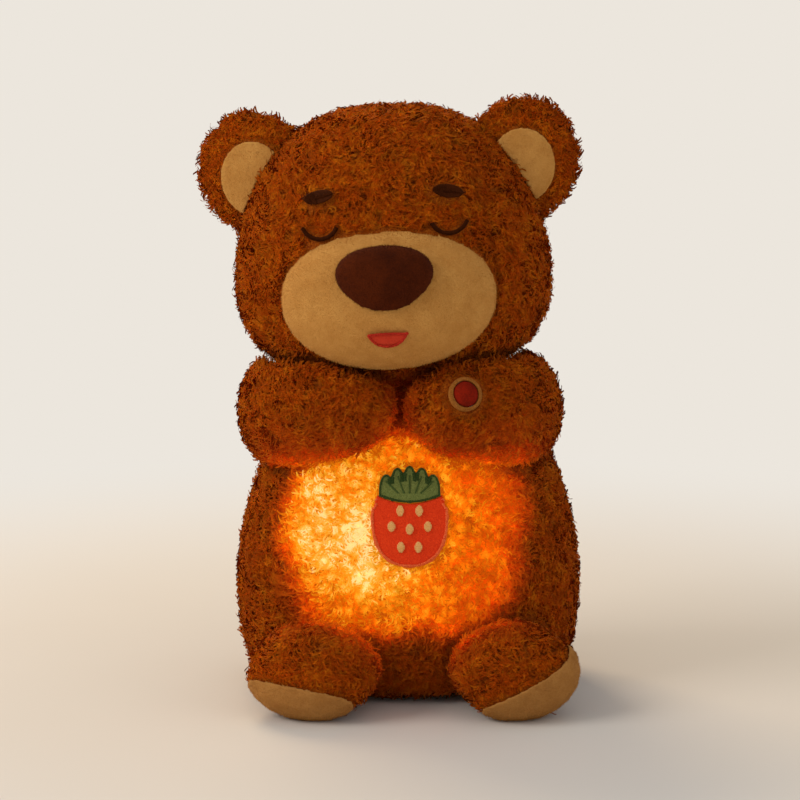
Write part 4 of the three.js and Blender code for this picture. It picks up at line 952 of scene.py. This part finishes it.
def makeStitchTree():
    # one thread on each point, along its across attribute and as long as its reach
    tree, given = newGeometryTree("satinStitches", "Stitches", {
        "Places": "Geometry", "Thread": "Object", "Unevenness": "Float", "Seed": "Int", "Finish": "Material"})
    named = "GeometryNodeInputNamedAttribute"
    across = addNode(tree, named, {"Name": "across"}, data_type="FLOAT_VECTOR")
    up = addNode(tree, named, {"Name": "up"}, data_type="FLOAT_VECTOR")
    reach = addNode(tree, named, {"Name": "reach"}, data_type="FLOAT")
    points = addNode(tree, "GeometryNodeMeshToPoints", {"Mesh": given["Places"]})
    along = addNode(tree, "FunctionNodeAlignRotationToVector", {"Vector": across}, axis="X")
    upright = addNode(tree, "FunctionNodeAlignRotationToVector", {"Rotation": along, "Vector": up},
                      axis="Z", pivot_axis="X")
    lowest = addNode(tree, "Math", {0: 1.0, 1: given["Unevenness"]}, operation="SUBTRACT")
    highest = addNode(tree, "Math", {0: 1.0, 1: given["Unevenness"]}, operation="ADD")
    vary = addNode(tree, "FunctionNodeRandomValue", {2: lowest, 3: highest, "Seed": given["Seed"]},
                   data_type="FLOAT").outputs[1]
    length = addNode(tree, "Math", {0: reach, 1: vary}, operation="MULTIPLY")
    size = addNode(tree, "CombineXYZ", {"X": length, "Y": vary, "Z": vary})
    shape = addNode(tree, "GeometryNodeObjectInfo", {"Object": given["Thread"], "As Instance": True})
    placed = addNode(tree, "GeometryNodeInstanceOnPoints", {
        "Points": points, "Instance": shape.outputs["Geometry"], "Rotation": upright, "Scale": size})
    return finishTree(tree, placed, given, "Stitches")


stitchTree = makeStitchTree()
oneStitch = bpy.data.objects.new("oneStitch", threadMesh())


def sewStitches(name, stitches, body, finish, seed):
    # stitches are rows of place, direction, outward way and length in mm
    places, ways, ups, reaches = zip(*stitches)
    holder = placeObject(name + "Places", newMesh(name, places))
    setAttribute(holder.data, "across", ways)
    setAttribute(holder.data, "up", ups)
    setAttribute(holder.data, "reach", [reach * mm for reach in reaches])
    sewn = runTree(holder, stitchTree, {"Thread": oneStitch, "Unevenness": 0.07, "Seed": seed,
                                        "Finish": finishes[finish]})
    dropObject(holder)
    made = placeObject(name, sewn)
    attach(made, body)


def onSurface(tree, place, x, z):
    # where a line along the place's depth first meets the surface, coming from the front
    start = place @ Vector((x * mm, -0.25, z * mm))
    way = (place.to_3x3() @ Vector((0, 1, 0))).normalized()
    point, normal, _, _ = tree.ray_cast(start, way)
    if point is None:
        point, normal, _, _ = tree.find_nearest(place @ Vector((x * mm, -0.06, z * mm)))
    return point, normal


def lineStitches(tree, place, path, width, pitch, inward=0):
    # stitches across a closed or open line of (x, z) points in mm
    path = np.array(path, float)
    travelled = np.concatenate([[0], np.cumsum(np.hypot(*np.diff(path, axis=0).T))])
    whole = travelled[-1]
    count = max(2, int(round(whole / pitch)))
    found = []
    for share in (np.arange(count) + 0.5) / count * whole:
        x, z, ahead, above, behind, below = (
            np.interp(at, travelled, path[:, k])
            for at in (share, min(share + 0.2, whole), max(share - 0.2, 0)) for k in (0, 1))
        length = math.hypot(ahead - behind, above - below) or 1
        nx, nz = (below - above) / length, (ahead - behind) / length
        x, z = x + nx * inward, z + nz * inward
        one, _ = onSurface(tree, place, x - nx * width / 2, z - nz * width / 2)
        two, _ = onSurface(tree, place, x + nx * width / 2, z + nz * width / 2)
        middle, normal = onSurface(tree, place, x, z)
        way = two - one
        if way.length > 2.5 * width * mm:
            # one end has missed the piece
            way = place.to_3x3() @ Vector((nx, 0, nz)) * width * mm
        found.append((middle, way.normalized(), normal, max(way.length / mm, 0.6 * width)))
    return found


def ovalStitches(tree, place, width, height, pitch, slant=0):
    # upright threads that fill an oval
    found = []
    for x in np.arange((pitch - width) / 2, width / 2, pitch):
        reach = height / 2 * math.sqrt(max(0, 1 - (2 * x / width) ** 2))
        if reach >= 0.25:
            one, _ = onSurface(tree, place, x - slant, -reach)
            two, _ = onSurface(tree, place, x + slant, reach)
            middle, normal = onSurface(tree, place, x, 0)
            found.append((middle, (two - one).normalized(), normal, (two - one).length / mm))
    return found


def bezier(points, steps=14):
    # points of chained cubic curves, in the order start, handle, handle, end
    found = []
    for i in range(0, len(points) - 1, 3):
        a, b, c, d = (np.array(p, float) for p in points[i:i + 4])
        for share in np.arange(steps) / steps:
            rest = 1 - share
            handles = 3 * rest ** 2 * share * b + 3 * rest * share ** 2 * c
            found.append(rest ** 3 * a + handles + share ** 3 * d)
    return found + [np.array(points[-1], float)]


# sleeping eyes and brows, in the head's frame
eyeRow = {"radius": 9, "sweep": 132, "spread": 30, "rise": 87, "width": 2.3, "pitch": 0.5}
browPad = {"width": 14, "height": 6, "lean": 12, "spread": 30, "rise": 97, "pitch": 0.5, "slant": 0.5}
for side, sign in (("right", 1), ("left", -1)):
    angles = np.radians(np.linspace(-90 - eyeRow["sweep"] / 2, -90 + eyeRow["sweep"] / 2, 30))
    arc = [(sign * eyeRow["spread"] + eyeRow["radius"] * math.cos(angle),
            eyeRow["rise"] + eyeRow["radius"] * math.sin(angle)) for angle in angles]
    eyeTree = searchTree(meshShape(coverObjects["eye_" + side].data))
    rows = lineStitches(eyeTree, headFrame, arc, eyeRow["width"], eyeRow["pitch"])
    sewStitches("eye_stitches_" + side, rows, "bear", "brownThread", 3)
    lean = math.radians(browPad["lean"]) * sign
    browPlace = headFrame @ frameAt(sign * browPad["spread"], 0, browPad["rise"], 0, 0, lean)
    browTree = searchTree(meshShape(coverObjects["brow_" + side].data))
    rows = ovalStitches(browTree, browPlace, browPad["width"], browPad["height"], browPad["pitch"],
                        browPad["slant"])
    sewStitches("brow_stitches_" + side, rows, "bear", "brownThread", 4)
print("stage: eyes and brows sewn")

# mouth: a satin border round the velour patch
mouthPatch = {"width": 19, "height": 8, "rise": 33, "border": 1.3, "inward": -0.45, "pitch": 0.5}
w, h = mouthPatch["width"], mouthPatch["height"]
mouthLine = bezier([(-w / 2, h / 3), (-w / 4, 0.44 * h), (w / 4, 0.44 * h), (w / 2, h / 3),
                    (0.39 * w, -0.2 * h), (w / 4, -h / 2), (0, -h / 2),
                    (-w / 4, -h / 2), (-0.39 * w, -0.2 * h), (-w / 2, h / 3)])
rows = lineStitches(searchTree(meshShape(coverObjects["mouth_patch"].data)),
                    headFrame @ frameAt(0, 0, mouthPatch["rise"]), mouthLine, mouthPatch["border"],
                    mouthPatch["pitch"], mouthPatch["inward"] * mouthPatch["border"])
sewStitches("mouth_border", rows, "bear", "redThread", 6)

# fruit patch: satin border, sewn pips, and a bordered leaf crown with veins
berry = {"width": 37, "height": 38, "shoulder": 0.62, "offset": 4.5, "base": 68, "border": 2.1, "pitch": 0.55,
         "inward": 0.45, "clearOfLeaves": 1.2, "pipWidth": 3.3, "pipHeight": 5, "pipPitch": 0.42,
         "pips": [(-0.24, 0.7), (0.24, 0.7), (-0.46, 0.51), (0, 0.48), (0.46, 0.51), (-0.22, 0.26),
                  (0.22, 0.26)]}
half, tall = berry["width"] / 2, berry["height"]
shoulder = tall * berry["shoulder"]
berryLine = bezier([(0, 0), (0.7 * half, 0), (half, 0.4 * shoulder), (half, shoulder), (half, tall),
                    (half / 3, tall), (0, tall), (-half / 3, tall), (-half, tall), (-half, shoulder),
                    (-half, 0.4 * shoulder), (-0.7 * half, 0), (0, 0)])
berryPlace = frameAt(berry["offset"], 0, berry["base"])
fruitTree = searchTree(meshShape(coverObjects["fruit_patch"].data))
leafTree = searchTree(meshShape(coverObjects["fruit_leaves"].data))
rows = lineStitches(fruitTree, berryPlace, berryLine, berry["border"], berry["pitch"],
                    berry["inward"] * berry["border"])
rows = [row for row in rows if (leafTree.find_nearest(row[0])[3] or 1) > berry["clearOfLeaves"] * mm]
sewStitches("fruit_border", rows, "bear", "berryThread", 7)
rows = []
for across, up in berry["pips"]:
    rows += ovalStitches(fruitTree, berryPlace @ frameAt(across * half, 0, up * tall), berry["pipWidth"],
                         berry["pipHeight"], berry["pipPitch"])
sewStitches("fruit_pips", rows, "bear", "seedThread", 8)

crown = {"width": 29, "height": 14, "leaves": 5, "notch": 0.5, "plump": 0.16, "fan": 0.35, "sag": 3,
         "overlap": 5, "border": 1.7, "pitch": 0.55, "inward": 0.4, "veinWidth": 0.8}
leafHalf = crown["width"] / 2
leafStep = crown["width"] / crown["leaves"]
crownLine, leafMiddles, last = [], [], (leafHalf, 0)
for i in range(1, crown["leaves"] + 1):
    middle, end = leafHalf - (i - 0.5) * leafStep, leafHalf - i * leafStep
    tip = crown["height"] * math.sqrt(1 - (middle / (leafHalf + crown["fan"] * leafStep)) ** 2)
    notch = crown["height"] * crown["notch"] * math.sqrt(max(0, 1 - (end / leafHalf) ** 2))
    after = (end, notch if i < crown["leaves"] else 0)
    handle = (8 * tip - last[1] - after[1]) / 6
    flare = crown["plump"] * leafStep
    crownLine += bezier([last, (last[0] + flare, handle), (end - flare, handle), after])[:-1]
    leafMiddles.append((middle, tip))
    last = after
# the lower edge sags in one curve
for share in np.arange(10) / 10:
    crownLine.append(np.array([(1 - share) ** 2 * last[0] + share ** 2 * leafHalf,
                               (1 - share) ** 2 * last[1] - 4 * (1 - share) * share * crown["sag"]]))
crownLine.append(np.array((leafHalf, 0.0)))
crownPlace = berryPlace @ frameAt(0, 0, berry["height"] - crown["overlap"])
rows = lineStitches(leafTree, crownPlace, crownLine, crown["border"], crown["pitch"],
                    crown["inward"] * crown["border"])
sewStitches("leaf_border", rows, "bear", "leafThread", 9)
rows = []
for middle, tip in leafMiddles:
    vein = [(0.45 * middle, 1.5), (0.95 * middle, 0.7 * tip)]
    rows += lineStitches(leafTree, crownPlace, vein, crown["veinWidth"], crown["pitch"])
sewStitches("leaf_veins", rows, "bear", "veinThread", 12)

# paw button: radial stitches round the patch, and the arm's fabric turned in under the ring
ring = {"radius": 7.15, "width": 1.7, "pitch": 0.5, "press": (-0.35032, 0.87626, -0.33083), "collarSides": 48,
        "collar": [(6.7, 0.5), (6.7, 0.1), (8.2, 0.2), (9.4, 0.9), (10.8, 2.1)]}
ringPoints = values(nodes["switch_ring"].data.vertices)
ringMiddle = Vector((ringPoints.min(0) + ringPoints.max(0)) / 2)
pressAxis = Vector(ring["press"]).normalized()
sideways = pressAxis.cross(Vector((0, 0, 1))).normalized()
upwards = sideways.cross(pressAxis).normalized()
ringTree = searchTree(meshShape(coverObjects["switch_ring"].data))
rows = []
for angle in np.arange(0, math.tau, ring["pitch"] / ring["radius"]):
    way = sideways * math.cos(angle) + upwards * math.sin(angle)
    place = ringMiddle + way * ring["radius"] * mm
    rows.append((ringTree.ray_cast(place - pressAxis * 0.02, pressAxis)[0] or place, way, -pressAxis,
                 ring["width"]))
sewStitches("button_ring_stitches", rows, "arm_right", "tanThread", 10)
ringDepth = max((Vector(point) - ringMiddle).dot(pressAxis) for point in ringPoints)
places = []
for radius, depth in ring["collar"]:
    for angle in np.arange(ring["collarSides"]) * math.tau / ring["collarSides"]:
        way = sideways * math.cos(angle) + upwards * math.sin(angle)
        places.append(ringMiddle + way * radius * mm + pressAxis * (ringDepth + depth * mm))
collarFaces = [(a, d, c, b) for a, b, c, d in tubeFaces(len(ring["collar"]), ring["collarSides"])]
collar = placeObject("button_collar", newMesh("button_collar", places, collarFaces))
collar.data.materials.append(finishes["backing"])
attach(collar, "arm_right")
print("stage: patches and button sewn")


# hook and loop strips: nylon hooks on the flap, loops on the body
grip = {"perMm": 1.3, "kinds": 2, "facing": 0.6, "seed": 77,
        "line": [(0, 0), (0, 0.3), (0.15, 0.5), (0.34, 0.35)], "widths": [0.22, 0.2, 0.16],
        "stations": [0, 0.4, 0.8, 1],
        "look": {"Lean": 0.05, "Untidiness": 0.1, "Lift": 1, "Shortest": 0.9, "Longest": 1.1}}


def hookStrand(i):
    centres = [(aside * mm, 0, rise * mm) for aside, rise in grip["line"]]
    widths = [width * mm for width in grip["widths"]]
    return ribbonMesh("hookStrand" + str(i), centres, widths, grip["stations"])


hooks = strandCollection("hookStrand", grip["kinds"], hookStrand)
for node, toward in (("hook_strip", -1), ("loop_strip", 1)):
    tapeMesh = coverObjects[node].data
    facing = values(tapeMesh.vertices, "normal")[:, 1] * toward > grip["facing"]
    prepareNap(tapeMesh, facing, np.tile([1.0, 0.0, 0.0], (len(facing), 1)))
    growPile(coverObjects[node], node + "_bristles", covers[node], hooks, grip["perMm"],
             finishes["gripNylon"], grip["seed"], grip["look"])

for group in (curlyStrands, shortStrands, hooks):
    for made in list(group.objects):
        dropObject(made)
    bpy.data.collections.remove(group)
dropObject(oneStitch)
print("stage: strips done")


# camera, lamps and floor

view = {"target": (0, -0.02, 0.141), "distance": 1.4, "elevation": 9, "lens": 131.7}
aim = Vector(view["target"])
tilt = math.radians(view["elevation"])
photoCamera = placeObject("photoCamera", bpy.data.cameras.new("photoCamera"))
photoCamera.data.lens = view["lens"]
photoCamera.data.sensor_width = 36
photoCamera.location = aim + view["distance"] * Vector((0, -math.cos(tilt), math.sin(tilt)))
photoCamera.rotation_euler = (math.pi / 2 - tilt, 0, 0)
bpy.context.scene.camera = photoCamera

lamps = {
    "keyLamp": {"place": (-1.6, -0.8, 1.2), "size": 1.1, "power": 18, "colour": "#fff6ea"},
    "fillLamp": {"place": (1.5, -1.0, 0.7), "size": 1.3, "power": 3.2, "colour": "#fffaf4"},
    "rimLamp": {"place": (-0.6, 1.15, 1.4), "size": 0.9, "power": 18, "colour": "#ffdcac"},
}
for name, settings in lamps.items():
    lamp = placeObject(name, bpy.data.lights.new(name, "AREA"))
    lamp.data.size = settings["size"]
    lamp.data.energy = settings["power"]
    lamp.data.color = linear(settings["colour"])[:3]
    lamp.location = settings["place"]
    lamp.rotation_euler = (aim - lamp.location).to_track_quat("-Z", "Y").to_euler()

studio = {"floorColours": [(0.3, "#d8d6d3"), (0.7, "#dcdad8")], "floorRadius": 40, "backColour": "#ece6dd",
          "backFrom": 0.18, "backBeyond": 0.62, "light": 0.5, "lightColour": "#fffaf2"}


def seenPlainly(tree):
    # 1 for the camera and in reflections and clear materials, 0 for the light on the object
    rays = addNode(tree, "LightPath").outputs
    seen = addNode(tree, "Math", {0: rays["Is Camera Ray"], 1: rays["Is Glossy Ray"]}, operation="MAXIMUM")
    return addNode(tree, "Math", {0: seen, 1: rays["Is Transmission Ray"]}, operation="MAXIMUM")


world = bpy.data.worlds.new("studioWorld")
bpy.context.scene.world = world
world.use_nodes = True
tree = world.node_tree
tree.nodes.clear()
lit = addNode(tree, "Background", {"Color": linear(studio["lightColour"]), "Strength": studio["light"]})
shown = addNode(tree, "Background", {"Color": linear(studio["backColour"]), "Strength": 1})
either = addNode(tree, "MixShader", {0: seenPlainly(tree), 1: lit, 2: shown})
addNode(tree, "OutputWorld", {"Surface": either})

# seamless painted floor, matt with faint roller marks; past the object's shadow it turns into the backdrop
floorFinish, tree, shader = newMaterial("mattPaintedFloor", {"Roughness": 0.9, "Specular IOR Level": 0.2})
place = addNode(tree, "TexCoord").outputs["Object"]
marks = addNode(tree, "TexNoise", {"Vector": place, "Scale": 3, "Detail": 3})
feed(shader, {"Base Color": addNode(tree, "ValToRGB", {"Fac": marks}, studio["floorColours"])})
distance = addNode(tree, "VectorMath", {0: place}, operation="LENGTH").outputs["Value"]
beyond = addNode(tree, "MapRange", {"Value": distance, "From Min": studio["backFrom"],
                                    "From Max": studio["backBeyond"]}, interpolation_type="SMOOTHSTEP")
part = addNode(tree, "Math", {0: seenPlainly(tree), 1: beyond}, operation="MULTIPLY")
backdrop = addNode(tree, "Emission", {"Color": linear(studio["backColour"]), "Strength": 1})
either = addNode(tree, "MixShader", {0: part, 1: shader, 2: backdrop})
feed(next(node for node in tree.nodes if node.type == "OUTPUT_MATERIAL"), {"Surface": either})
shape = bmesh.new()
bmesh.ops.create_circle(shape, cap_ends=True, segments=96, radius=studio["floorRadius"])
mesh = bpy.data.meshes.new("floor")
shape.to_mesh(mesh)
shape.free()
mesh.materials.append(floorFinish)
floor = placeObject("floor", mesh)

bpy.context.scene.view_settings.view_transform = "Standard"
print("stage: studio set")
